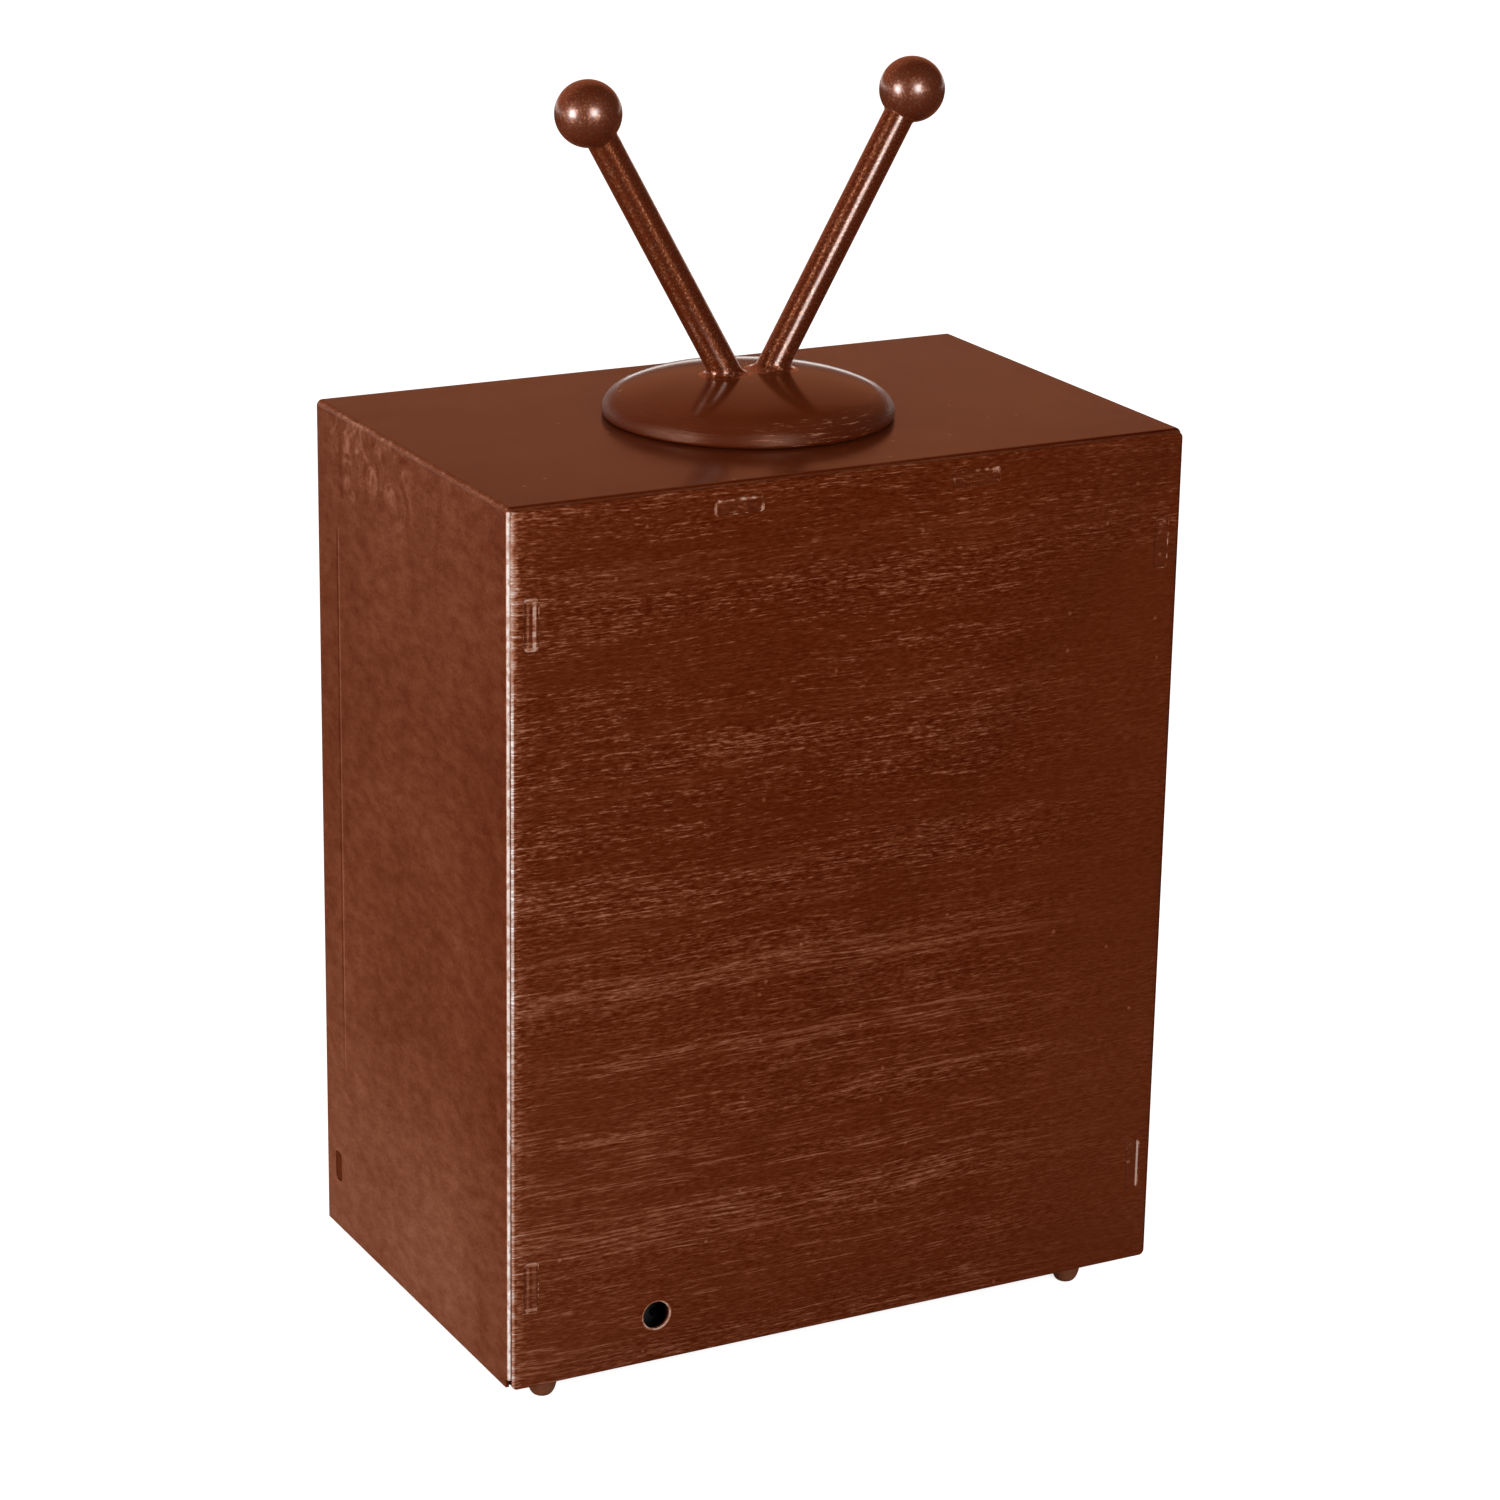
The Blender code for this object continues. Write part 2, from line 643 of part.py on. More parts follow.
def make_base():
    """The plate that closes the bottom, the two angles that hold it, its screws and the feet."""
    built = bmesh.new()
    half = HALF_WIDTH - SHEET - SEAT
    near, far = PANEL_BACK + SEAT, FLANGE_FACE - SHEET - SEAT
    outline = rounded_rectangle(2 * half, far - near, SHEET)
    add_prism(built, outline, (0, (near + far) / 2), BASE_UNDERSIDE, BASE_TOP, "Z")
    plate = add_object("base_plate", built, "brown_paint")
    cuts = bmesh.new()
    low, high = BASE_UNDERSIDE - SHEET, BASE_TOP + SHEET
    for place in (*base_screws(), block_centre()):
        add_prism(cuts, circle(SCREW_DIAMETER / 2 + SEAT, SMALL_FACETS), place, low, high, "Z")
    for place in bracket_rivets():
        add_prism(cuts, circle(RIVET_DIAMETER / 2 + SEAT, SMALL_FACETS), place, low, high, "Z")
    vent = rounded_rectangle(VENT_LENGTH, VENT_WIDTH, VENT_WIDTH / 2)
    for sign in (1, -1):
        for i in range(VENT_COUNT):
            y = VENT_CENTRE_Y + (i - (VENT_COUNT - 1) / 2) * VENT_PITCH
            add_prism(cuts, vent, (sign * VENT_CENTRE_X, y), low, high, "Z")
    combine(plate, cuts, "DIFFERENCE")

    floor = BASE_TOP + SEAT
    for side, sign in (("right", 1), ("left", -1)):
        angle = bmesh.new()
        leg = [
            (half, floor),
            (half, floor + ANGLE_LEG),
            (half - ANGLE_SHEET, floor + ANGLE_LEG),
            (half - ANGLE_SHEET, floor + ANGLE_SHEET),
            (half - ANGLE_LEG, floor + ANGLE_SHEET),
            (half - ANGLE_LEG, floor),
        ]
        outline = [(sign * x, z) for x, z in leg]
        add_prism(angle, outline, (0, 0), ANGLE_MIDDLE - ANGLE_LENGTH / 2, ANGLE_MIDDLE + ANGLE_LENGTH / 2)
        strip = add_object(f"base_angle_{side}", angle, "zinc")
        holes = bmesh.new()
        for x, y in base_screws():
            if x * sign > 0:
                hole = circle(SCREW_DIAMETER / 2 + SEAT, SMALL_FACETS)
                add_prism(holes, hole, (x, y), floor - ANGLE_SHEET, floor + 2 * ANGLE_SHEET, "Z")
        combine(strip, holes, "DIFFERENCE")

    length = SEAT + SHEET + SEAT + ANGLE_SHEET + SCREW_END
    for i, (x, y) in enumerate(base_screws(), 1):
        screw = headed_pin(SCREW_HEAD_DIAMETER, SCREW_HEAD_HEIGHT, SCREW_DIAMETER, length)
        add_object(f"base_screw_{i}", screw, "zinc", (x, y, BASE_UNDERSIDE - SEAT))

    rear, front = BACK - REAR_FOOT_INSET, FRONT + FRONT_FOOT_INSET
    feet = {
        "foot_rear_right": (HALF_WIDTH - NEAR_FOOT_SIDE, rear),
        "foot_rear_left": (FAR_FOOT_SIDE - HALF_WIDTH, rear),
        "foot_front_right": (HALF_WIDTH - FRONT_FOOT_SIDE, front),
        "foot_front_left": (FRONT_FOOT_SIDE - HALF_WIDTH, front),
    }
    for name, (x, y) in feet.items():
        flank = arc((FOOT_FLAT_RADIUS, FOOT_HEIGHT), 1, 0, -90, CORNER_STEPS)
        spread = FOOT_TOP_RADIUS - FOOT_FLAT_RADIUS
        profile = [(0, FOOT_HEIGHT)]
        for r, z in flank:
            share_out, share_down = r - FOOT_FLAT_RADIUS, FOOT_HEIGHT - z
            profile.append((FOOT_FLAT_RADIUS + spread * share_out, FOOT_HEIGHT * (1 - share_down)))
        profile.append((0, 0))
        add_object(name, turned(profile, SMALL_FACETS), "brown_rubber", (x, y, 0))


def dome_height(radius, lift=0.0):
    """Height of the dome's outer face at a distance from its axis."""
    share = min(radius / DOME_RADIUS, 1)
    return DOME_RIM + DOME_CROWN * (1 - share**DOME_POWER) ** (1 / DOME_POWER) + lift


def dome_profile(radius, crown, steps=DOME_STEPS):
    """The domed face from its middle to its rim."""
    points = []
    for i in range(steps + 1):
        angle = math.pi / 2 * (1 - i / steps)
        across = max(math.cos(angle), 0) ** (2 / DOME_POWER)
        up = max(math.sin(angle), 0) ** (2 / DOME_POWER)
        points.append((radius * across, DOME_RIM + crown * up))
    return points


def make_dome():
    """The pressed dome under the rods, open below, with the stud, washer and nut that hold it."""
    outer = dome_profile(DOME_RADIUS, DOME_CROWN)
    inner = dome_profile(DOME_RADIUS - DOME_WALL, DOME_CROWN - DOME_WALL)
    lip = [
        (DOME_RADIUS - DOME_LIP + a, DOME_RIM + b) for a, b in arc((0, 0), DOME_LIP, 0, -90, FOLD_STEPS)
    ]
    foot = [(DOME_RADIUS - DOME_WALL, DOME_RIM - DOME_LIP)]
    profile = [*outer, *lip[1:], *foot, *reversed(inner)]
    add_object("aerial_dome", turned(profile, DOME_FACETS), "brown_gloss")

    crown = DOME_RIM + DOME_CROWN - DOME_WALL - SEAT
    washer_top = TOP - SHEET - SEAT
    washer_low = washer_top - AERIAL_WASHER_HEIGHT
    nut_low = washer_low - SEAT - AERIAL_NUT_HEIGHT
    shank, head = AERIAL_STUD_DIAMETER / 2, AERIAL_STUD_HEAD / 2
    under = crown - AERIAL_STUD_HEAD_HEIGHT
    bolt = [(0, crown), (head, crown - SEAT), (head, under), (shank, under)]
    bolt += [(shank, nut_low - AERIAL_STUD_END), (0, nut_low - AERIAL_STUD_END)]
    add_object("aerial_stud", turned(bolt), "zinc")
    hole, rim = shank + SEAT, AERIAL_WASHER_DIAMETER / 2
    washer = [(hole, washer_low), (rim, washer_low), (rim, washer_top), (hole, washer_top)]
    add_object("aerial_washer", turned_ring(washer), "zinc")
    nut = hex_nut(AERIAL_NUT_FLATS, 2 * hole, AERIAL_NUT_HEIGHT)
    add_object("aerial_nut", nut, "zinc", (0, 0, nut_low))


def meet_dome(apex, across, along):
    """Where a line beside a rod's axis meets the dome, a seat's width above its face."""
    low, high = 0.0, ROD_REACH
    for _ in range(40):
        middle = (low + high) / 2
        point = apex + across + along * middle
        above = point.z - dome_height(math.hypot(point.x, point.y), SEAT)
        low, high = (low, middle) if above > 0 else (middle, high)
    return apex + across + along * low


def make_rods(steps=ROUND_FACETS):
    """Two leaning rods welded to the dome, each with a drilled ball on its end."""
    apex = Vector((0, 0, TOP))
    socket = BALL_DIAMETER / 2 - BALL_SOCKET
    for side, sign in (("right", 1), ("left", -1)):
        lean = Matrix.Rotation(sign * ROD_LEAN, 3, "Y")
        along = lean @ Vector((0, 0, 1))
        built = bmesh.new()
        rows = [[] for _ in range(6)]
        for x, y in circle(1, steps):
            out = lean @ Vector((x, y, 0))
            corner = meet_dome(apex, out * ROD_RADIUS, along)
            toe = meet_dome(apex, out * (ROD_RADIUS + ROD_FILLET), along)
            fillet = ROD_FILLET
            if sign * toe.x < SEAT:
                fillet *= (corner.x - sign * SEAT) / (corner.x - toe.x)
                toe = meet_dome(apex, out * (ROD_RADIUS + fillet), along)
            shank = corner + along * fillet
            for row, share in zip(rows, (0, 0.25, 0.5, 0.75, 1)):
                first, second = toe.lerp(corner, share), corner.lerp(shank, share)
                row.append(first.lerp(second, share))
            rows[5].append(apex + out * ROD_RADIUS + along * (ROD_REACH + socket - SEAT))
        skin(built, [ring(built, row) for row in rows])
        add_object(f"aerial_rod_{side}", built, "brown_gloss")

        radius, bore = BALL_DIAMETER / 2, ROD_RADIUS + SEAT
        mouth = -math.degrees(math.acos(bore / radius))
        profile = arc((0, 0), radius, 90, mouth, 2 * CORNER_STEPS)
        profile += [(bore, socket), (0, socket)]
        place = apex + along * ROD_REACH
        add_object(f"aerial_ball_{side}", turned(profile), "brown_gloss", place, (0, sign * ROD_LEAN, 0))


def make_lamp_bracket():
    """A strip folded twice: a foot on the base, a spine, and a shelf for the holder."""
    built = bmesh.new()
    low = BASE_TOP + SEAT
    rise = LAMP_Y + BRACKET_BACK
    spine = rise + BRACKET_SHEET
    foot = spine - BRACKET_FOOT
    toe = LAMP_Y - BRACKET_FRONT
    outline = [
        (spine, low),
        (spine, BRACKET_TOP),
        (toe, BRACKET_TOP),
        (toe, BRACKET_TOP - BRACKET_SHEET),
        (rise, BRACKET_TOP - BRACKET_SHEET),
        (rise, low + BRACKET_SHEET),
        (foot, low + BRACKET_SHEET),
        (foot, low),
    ]
    add_prism(built, outline, (0, 0), -BRACKET_WIDTH / 2, BRACKET_WIDTH / 2, "X")
    bracket = add_object("lamp_bracket", built, "zinc")
    cuts = bmesh.new()
    hole = circle(HOLDER_NIPPLE_DIAMETER / 2 + SEAT, ROUND_FACETS)
    add_prism(cuts, hole, (0, LAMP_Y), BRACKET_TOP - 2 * BRACKET_SHEET, BRACKET_TOP + BRACKET_SHEET, "Z")
    for place in bracket_rivets():
        hole = circle(RIVET_DIAMETER / 2 + SEAT, SMALL_FACETS)
        add_prism(cuts, hole, place, low - BRACKET_SHEET, low + 2 * BRACKET_SHEET, "Z")
    combine(bracket, cuts, "DIFFERENCE")

    shank, head, upset = RIVET_DIAMETER / 2, RIVET_HEAD_DIAMETER / 2, RIVET_UPSET_DIAMETER / 2
    grip = SEAT + SHEET + SEAT + BRACKET_SHEET + SEAT
    crown = RIVET_HEAD_HEIGHT * HEAD_CROWN_HEIGHT
    rivet = [(0, grip + RIVET_HEAD_HEIGHT), (upset * HEAD_CROWN_RADIUS, grip + crown), (upset, grip)]
    rivet += [(shank, grip), (shank, 0), (head, 0), (head * HEAD_CROWN_RADIUS, -crown)]
    rivet += [(0, -RIVET_HEAD_HEIGHT)]
    for i, (x, y) in enumerate(bracket_rivets(), 1):
        add_object(f"bracket_rivet_{i}", turned(rivet, SMALL_FACETS), "zinc", (x, y, BASE_UNDERSIDE - SEAT))


def make_lamp():
    """The lamp holder with its nut, and the bulb as a metal cap and a glass."""
    place = (0, LAMP_Y, HOLDER_BASE)
    flange, body = HOLDER_FLANGE_DIAMETER / 2, HOLDER_DIAMETER / 2
    well = body - HOLDER_WALL
    nipple = HOLDER_NIPPLE_DIAMETER / 2
    profile = [(0, HOLDER_FLOOR), (well, HOLDER_FLOOR), (well, HOLDER_HEIGHT), (body, HOLDER_HEIGHT)]
    profile += [(body, HOLDER_FLANGE_HEIGHT), (flange, HOLDER_FLANGE_HEIGHT), (flange, 0), (nipple, 0)]
    profile += [(nipple, -HOLDER_NIPPLE_LENGTH), (0, -HOLDER_NIPPLE_LENGTH)]
    add_object("lamp_holder", turned(profile), "porcelain", place)
    nut = hex_nut(HOLDER_NUT_FLATS, HOLDER_NIPPLE_DIAMETER + 2 * SEAT, HOLDER_NUT_HEIGHT)
    nut_z = BRACKET_TOP - BRACKET_SHEET - SEAT - HOLDER_NUT_HEIGHT
    add_object("lamp_holder_nut", nut, "zinc", (0, LAMP_Y, nut_z))

    cap_base = HOLDER_BASE + HOLDER_FLOOR + SEAT
    cap = well - SEAT
    tip = CAP_TIP_DIAMETER / 2
    bore = cap - CAP_WALL
    profile = [(0, CAP_FLOOR), (bore, CAP_FLOOR), (bore, CAP_HEIGHT), (cap, CAP_HEIGHT)]
    profile += [(cap, CAP_CONE), (tip, CAP_TIP_HEIGHT), (tip, 0), (0, 0)]
    add_object("bulb_cap", turned(profile), "brass", (0, LAMP_Y, cap_base))

    glass_base = cap_base + CAP_HEIGHT - BULB_IN_CAP
    radius = BULB_DIAMETER / 2
    neck = BULB_NECK_DIAMETER / 2
    centre = BULB_HEIGHT - radius
    outer = arc((0, centre), radius, 90, BULB_SHOULDER, BULB_STEPS)
    shoulder = outer[-1]
    drop = shoulder[1] - BULB_IN_CAP
    for i in range(1, CORNER_STEPS):
        share = i / (CORNER_STEPS - 1)
        ease = share * (2 - share)
        outer.append((shoulder[0] + (neck - shoulder[0]) * ease, shoulder[1] - drop * share))
    outer.append((neck, 0))
    inner = [(max(r - BULB_WALL, 0), z) for r, z in outer[1:]]
    profile = [*outer, *reversed(inner), (0, BULB_HEIGHT - 2 * BULB_WALL)]
    add_object("bulb_glass", turned(profile), "opal_glass", (0, LAMP_Y, glass_base))


def squared(radius, power, steps):
    """A round outline, squared up by its power, with its points at even angles of the rule."""
    points = []
    for x, y in circle(1, steps):
        across = math.copysign(abs(x) ** (2 / power), x)
        up = math.copysign(abs(y) ** (2 / power), y)
        points.append((radius * across, radius * up))
    return points


def make_control(kind, x, case_radius, case_power, case_length, steps=ROUND_FACETS):
    """A rotary control on the front panel: case, bush nut, and the spindle and knob that turn."""
    axis = bpy.data.objects.new(f"{kind}_axis", None)
    axis.location = (x, PANEL_BACK, CONTROL_Z)
    axis.rotation_euler = (math.pi / 2, 0, 0)
    bpy.context.scene.collection.objects.link(axis)

    bush, bore = BUSH_DIAMETER / 2, SPINDLE_DIAMETER / 2 + SEAT
    blind = -case_length + SPINDLE_BLIND
    case = bmesh.new()
    shapes = [
        (case_radius, case_power, -case_length),
        (case_radius, case_power, -SEAT),
        (bush, 2, -SEAT),
        (bush, 2, BUSH_LENGTH),
        (bore, 2, BUSH_LENGTH),
        (bore, 2, blind),
    ]
    loops = []
    for radius, power, z in shapes:
        loops.append(ring(case, [(a, b, z) for a, b in squared(radius, power, steps)]))
    skin(case, loops)
    add_object(f"{kind}_case", case, "black_plastic", parent=axis)
    nut = hex_nut(BUSH_NUT_FLATS, BUSH_DIAMETER + 2 * SEAT, BUSH_NUT_HEIGHT)
    add_object(f"{kind}_nut", nut, "zinc", (0, 0, SHEET + SEAT), parent=axis)

    crest = SHEET + RECESS - KNOB_TO_RIM
    seat = SHEET + KNOB_TO_PANEL
    spindle = SPINDLE_DIAMETER / 2
    spindle_end = crest - KNOB_FACE - SEAT
    shaft = [(0, spindle_end), (spindle, spindle_end), (spindle, blind + SEAT), (0, blind + SEAT)]
    add_object(f"{kind}_spindle", turned(shaft), "brass", parent=axis)
    outer = KNOB_DIAMETER / 2
    roof = BUSH_LENGTH + SEAT
    hollow = BUSH_NUT_FLATS / math.sqrt(3) + KNOB_NUT_CLEARANCE
    profile = [(0, crest)]
    edge = arc((outer - KNOB_ROUND, crest - KNOB_ROUND), KNOB_ROUND, 90, 0, FOLD_STEPS)
    profile += edge
    profile += [(outer, seat), (hollow, seat), (hollow, roof), (bore, roof)]
    profile += [(bore, crest - KNOB_FACE), (0, crest - KNOB_FACE)]
    knob = add_object(f"{kind}_knob", turned(profile, KNOB_FACETS), "dark_knob", parent=axis)
    groove = bmesh.new()
    mark = rounded_rectangle(POINTER_WIDTH, POINTER_LENGTH, POINTER_WIDTH / 2)
    face = PANEL_BACK - crest
    add_prism(groove, mark, (x, CONTROL_Z + POINTER_OFFSET), face - SHEET, face + POINTER_DEPTH)
    combine(knob, groove, "DIFFERENCE")


def make_terminal_block():
    """A two-pole block on the base, bored for the leads, with its screw from below."""
    x, y = block_centre()
    low = BASE_TOP + SEAT
    built = bmesh.new()
    outline = rounded_rectangle(BLOCK_LENGTH, BLOCK_DEPTH, SHEET)
    add_prism(built, outline, (x, y), low, low + BLOCK_HEIGHT, "Z")
    block = add_object("terminal_block", built, "black_plastic")
    cuts = bmesh.new()
    bore = circle(BLOCK_BORE / 2, SMALL_FACETS)
    screw_floor = low + BLOCK_HEIGHT - BLOCK_SCREW_DEPTH
    for sign in (1, -1):
        pole = x + sign * BLOCK_POLE_SPREAD
        add_prism(cuts, bore, (pole, low + BLOCK_HEIGHT / 2), y - BLOCK_DEPTH, y + BLOCK_DEPTH)
        add_prism(cuts, bore, (pole, y), screw_floor, low + 2 * BLOCK_HEIGHT, "Z")
    hole = circle(SCREW_DIAMETER / 2 + SEAT, SMALL_FACETS)
    add_prism(cuts, hole, (x, y), low - SHEET, low + BLOCK_HEIGHT / 2, "Z")
    combine(block, cuts, "DIFFERENCE")
    length = SEAT + SHEET + SEAT + BLOCK_HEIGHT / 3
    screw = headed_pin(SCREW_HEAD_DIAMETER, SCREW_HEAD_HEIGHT, SCREW_DIAMETER, length)
    add_object("terminal_block_screw", screw, "zinc", (x, y, BASE_UNDERSIDE - SEAT))


def smooth_route(stops, share_steps=LEAD_STEPS):
    """Points on a smooth curve through the stops, straight between the two at each end."""
    knots = [Vector(stop) for stop in stops]
    found = [knots[0]]
    for a, b, c, d in zip(knots, knots[1:], knots[2:], knots[3:]):
        for i in range(share_steps):
            t = i / share_steps
            square = 2 * a - 5 * b + 4 * c - d
            cube = 3 * b - a - 3 * c + d
            found.append(0.5 * (2 * b + (c - a) * t + square * t**2 + cube * t**3))
    return [*found, *knots[-2:]]


def add_lead(name, material, stops):
    route = smooth_route(stops)
    curve = bpy.data.curves.new(name, "CURVE")
    curve.dimensions = "3D"
    curve.bevel_depth = LEAD_DIAMETER / 2
    curve.bevel_resolution = 1
    curve.use_fill_caps = True
    spline = curve.splines.new("POLY")
    spline.points.add(len(route) - 1)
    for point, place in zip(spline.points, route):
        point.co = (*place, 1)
    curve.materials.append(finish(material))
    lead = bpy.data.objects.new(name, curve)
    bpy.context.scene.collection.objects.link(lead)


def make_leads():
    """Short leads from the block to the switch, on to the dimmer, and back from the lamp."""
    block_x, block_y = block_centre()
    floor = BASE_TOP + SEAT
    bore_z = floor + BLOCK_HEIGHT / 2
    entry = block_y - BLOCK_DEPTH / 2 - SEAT
    switch_back = PANEL_BACK + SWITCH_LENGTH + SEAT
    dimmer_back = PANEL_BACK + DIMMER_LENGTH + SEAT
    right, left = CONTROL_SPREAD, -CONTROL_SPREAD
    holder = HOLDER_FLANGE_DIAMETER / 2 + SEAT
    holder_z = HOLDER_BASE + HOLDER_FLANGE_HEIGHT / 2
    run, loop = LEAD_RUN, LEAD_LOOP
    low = floor + 2 * LEAD_DIAMETER

    pole = block_x + BLOCK_POLE_SPREAD
    tag = right + TAG_SPREAD
    supply = [(pole, entry, bore_z), (pole, entry - run, bore_z), (pole, entry - 3 * run, low)]
    supply += [(tag, switch_back + 2 * loop, low), (tag, switch_back + loop, (low + CONTROL_Z) / 2)]
    supply += [(tag, switch_back + run, CONTROL_Z), (tag, switch_back, CONTROL_Z)]
    add_lead("lead_supply_to_switch", "black_lead", supply)

    first, last = right - TAG_SPREAD, left + TAG_SPREAD
    drop = CONTROL_Z - loop
    across = [(first, switch_back, CONTROL_Z), (first, switch_back + run, CONTROL_Z)]
    across += [(first - run, switch_back + 2 * run, CONTROL_Z - run)]
    across += [(first - 2 * loop, switch_back + 2 * run, drop), (0, switch_back + 2 * run, drop - run)]
    across += [(last + 2 * loop, dimmer_back + 2 * run, drop)]
    across += [(last + run, dimmer_back + 2 * run, CONTROL_Z - run)]
    across += [(last, dimmer_back + run, CONTROL_Z), (last, dimmer_back, CONTROL_Z)]
    add_lead("lead_switch_to_dimmer", "black_lead", across)

    tag = left - TAG_SPREAD
    middle = (tag - holder) / 2
    feed = [(tag, dimmer_back, CONTROL_Z), (tag, dimmer_back + run, CONTROL_Z)]
    feed += [(tag + run, (dimmer_back + LAMP_Y) / 2, CONTROL_Z), (middle, LAMP_Y - run, holder_z)]
    feed += [(-holder - run, LAMP_Y, holder_z), (-holder, LAMP_Y, holder_z)]
    add_lead("lead_dimmer_to_lamp", "black_lead", feed)

    pole = block_x - BLOCK_POLE_SPREAD
    back = [(pole, entry, bore_z), (pole, entry - run, bore_z)]
    back += [((pole + holder) / 2, LAMP_Y + run, (bore_z + holder_z) / 2)]
    back += [(holder + run, LAMP_Y, holder_z), (holder, LAMP_Y, holder_z)]
    add_lead("lead_lamp_return", "white_lead", back)


def main():
    clear_scene()
    make_wrapper()
    make_back_panel()
    make_front_panel()
    make_bezel()
    make_screen()
    make_retainer()
    make_base()
    make_dome()
    make_rods()
    make_lamp_bracket()
    make_lamp()
    make_control("switch", CONTROL_SPREAD, SWITCH_SIDE / 2, 8, SWITCH_LENGTH)
    make_control("dimmer", -CONTROL_SPREAD, DIMMER_DIAMETER / 2, 2, DIMMER_LENGTH)
    make_terminal_block()
    make_leads()


main()
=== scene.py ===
# %% [markdown]
# A television lamp, seen from behind
#
# The real lamp is a cabinet of folded steel with a mock aerial on top, under a reddish brown paint
# that was put on with a nearly dry brush. It could be modelled from nothing, but a packed CAD part
# already gives every piece its true place and size. So this lesson keeps that frame, swaps the
# pieces that are seen from close by for finer ones, and paints all of them.

import json
import math

import bmesh
import bpy
from mathutils import Matrix, Vector


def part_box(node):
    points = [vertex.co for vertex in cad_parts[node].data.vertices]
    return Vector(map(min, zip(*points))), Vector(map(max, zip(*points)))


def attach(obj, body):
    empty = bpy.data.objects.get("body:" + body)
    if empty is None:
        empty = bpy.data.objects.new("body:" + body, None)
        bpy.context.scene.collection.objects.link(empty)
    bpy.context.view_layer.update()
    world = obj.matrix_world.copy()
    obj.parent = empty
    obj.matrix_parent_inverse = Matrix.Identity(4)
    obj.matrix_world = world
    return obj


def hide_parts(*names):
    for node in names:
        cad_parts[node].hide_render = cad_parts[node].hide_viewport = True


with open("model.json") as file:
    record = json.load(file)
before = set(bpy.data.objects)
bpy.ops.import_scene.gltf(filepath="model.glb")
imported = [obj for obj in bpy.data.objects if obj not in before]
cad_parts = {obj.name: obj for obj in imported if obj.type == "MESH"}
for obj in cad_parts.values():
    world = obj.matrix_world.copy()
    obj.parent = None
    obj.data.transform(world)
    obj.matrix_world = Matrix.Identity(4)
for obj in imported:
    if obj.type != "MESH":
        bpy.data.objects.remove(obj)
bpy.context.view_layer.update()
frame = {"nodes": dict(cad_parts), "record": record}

# %% [markdown]
# Sizes that come from the frame
#
# A finer piece has to sit exactly where its CAD piece sits. Its sizes could be typed in again, but
# then a change to the CAD part would leave them behind. So they are read from the frame's boxes,
# and only what a box can't tell, such as a fold's radius, is written here as a number.

# %% Read the main sizes
MM = 0.001
shell_low, shell_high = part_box("cabinet_wrapper")
panel_low, panel_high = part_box("back_panel")
dome_low, dome_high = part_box("aerial_dome")
ball_low, ball_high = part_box("aerial_ball_right")

HALF_WIDTH = shell_high.x
FRONT, BACK = shell_low.y, panel_high.y
BOTTOM, TOP = shell_low.z, shell_high.z
SHEET = panel_high.y - panel_low.y
SEAT = 0.3 * MM
FOLD = 2.0 * MM
FLANGE_FACE = panel_low.y - SEAT
FLANGE_WIDTH = 15 * MM
print("cabinet in mm:", round(2000 * HALF_WIDTH), round(1000 * (BACK - FRONT)), round(1000 * (TOP - BOTTOM)))

# %% [markdown]
# Small tools for building meshes
#
# On the real lamp most pieces are folded sheet or turned metal. They could be shaped by hand from
# primitives. But a row of loops with the same number of points, joined by faces, makes nearly all
# of them: a sheet's outline, a turned profile and a swept fold are each such a loft. So a few
# short functions serve for the whole lamp.

# %% Loops and lofts
def arc(centre, radius, start, end, steps):
    """Points on an arc in a plane, angles in degrees."""
    angles = [math.radians(start + (end - start) * i / steps) for i in range(steps + 1)]
    return [(centre[0] + radius * math.cos(a), centre[1] + radius * math.sin(a)) for a in angles]


def rounded_rectangle(width, height, radius, steps=8):
    """A rectangle about the origin with round corners."""
    across, up = width / 2 - radius, height / 2 - radius
    points = []
    for x, z, start in ((across, up, 0), (-across, up, 90), (-across, -up, 180), (across, -up, 270)):
        points += arc((x, z), radius, start, start + 90, steps)
    return points


def loft(loops, closed=False):
    """A mesh between loops of equal count. Its ends are capped, or joined when closed."""
    built = bmesh.new()
    rows = [[built.verts.new(point) for point in loop] for loop in loops]
    pairs = list(zip(rows, rows[1:]))
    if closed:
        pairs.append((rows[-1], rows[0]))
    for first, second in pairs:
        for i in range(len(first)):
            j = (i + 1) % len(first)
            built.faces.new((first[i], first[j], second[j], second[i]))
    if not closed:
        built.faces.new(rows[0])
        built.faces.new(rows[-1])
    return built


def turned(profile, steps=72):
    """A solid of revolution about Z from (radius, height) points."""
    loops = []
    for radius, height in profile:
        angles = [2 * math.pi * i / steps for i in range(steps)]
        loops.append([(radius * math.cos(a), radius * math.sin(a), height) for a in angles])
    return loft(loops)


print("points in a rounded rectangle:", len(rounded_rectangle(40 * MM, 20 * MM, 5 * MM)))

# %% [markdown]
# From a mesh to a piece
#
# A piece of the real lamp is sharp only where its metal is, and it moves with whatever it is fixed
# to. Each object could be linked and set up by hand. One function does it alike for all: it welds
# loops that shrink to a point, turns the faces outwards, shades smoothly except across real edges,
# and lets the piece ride on a body of the frame.

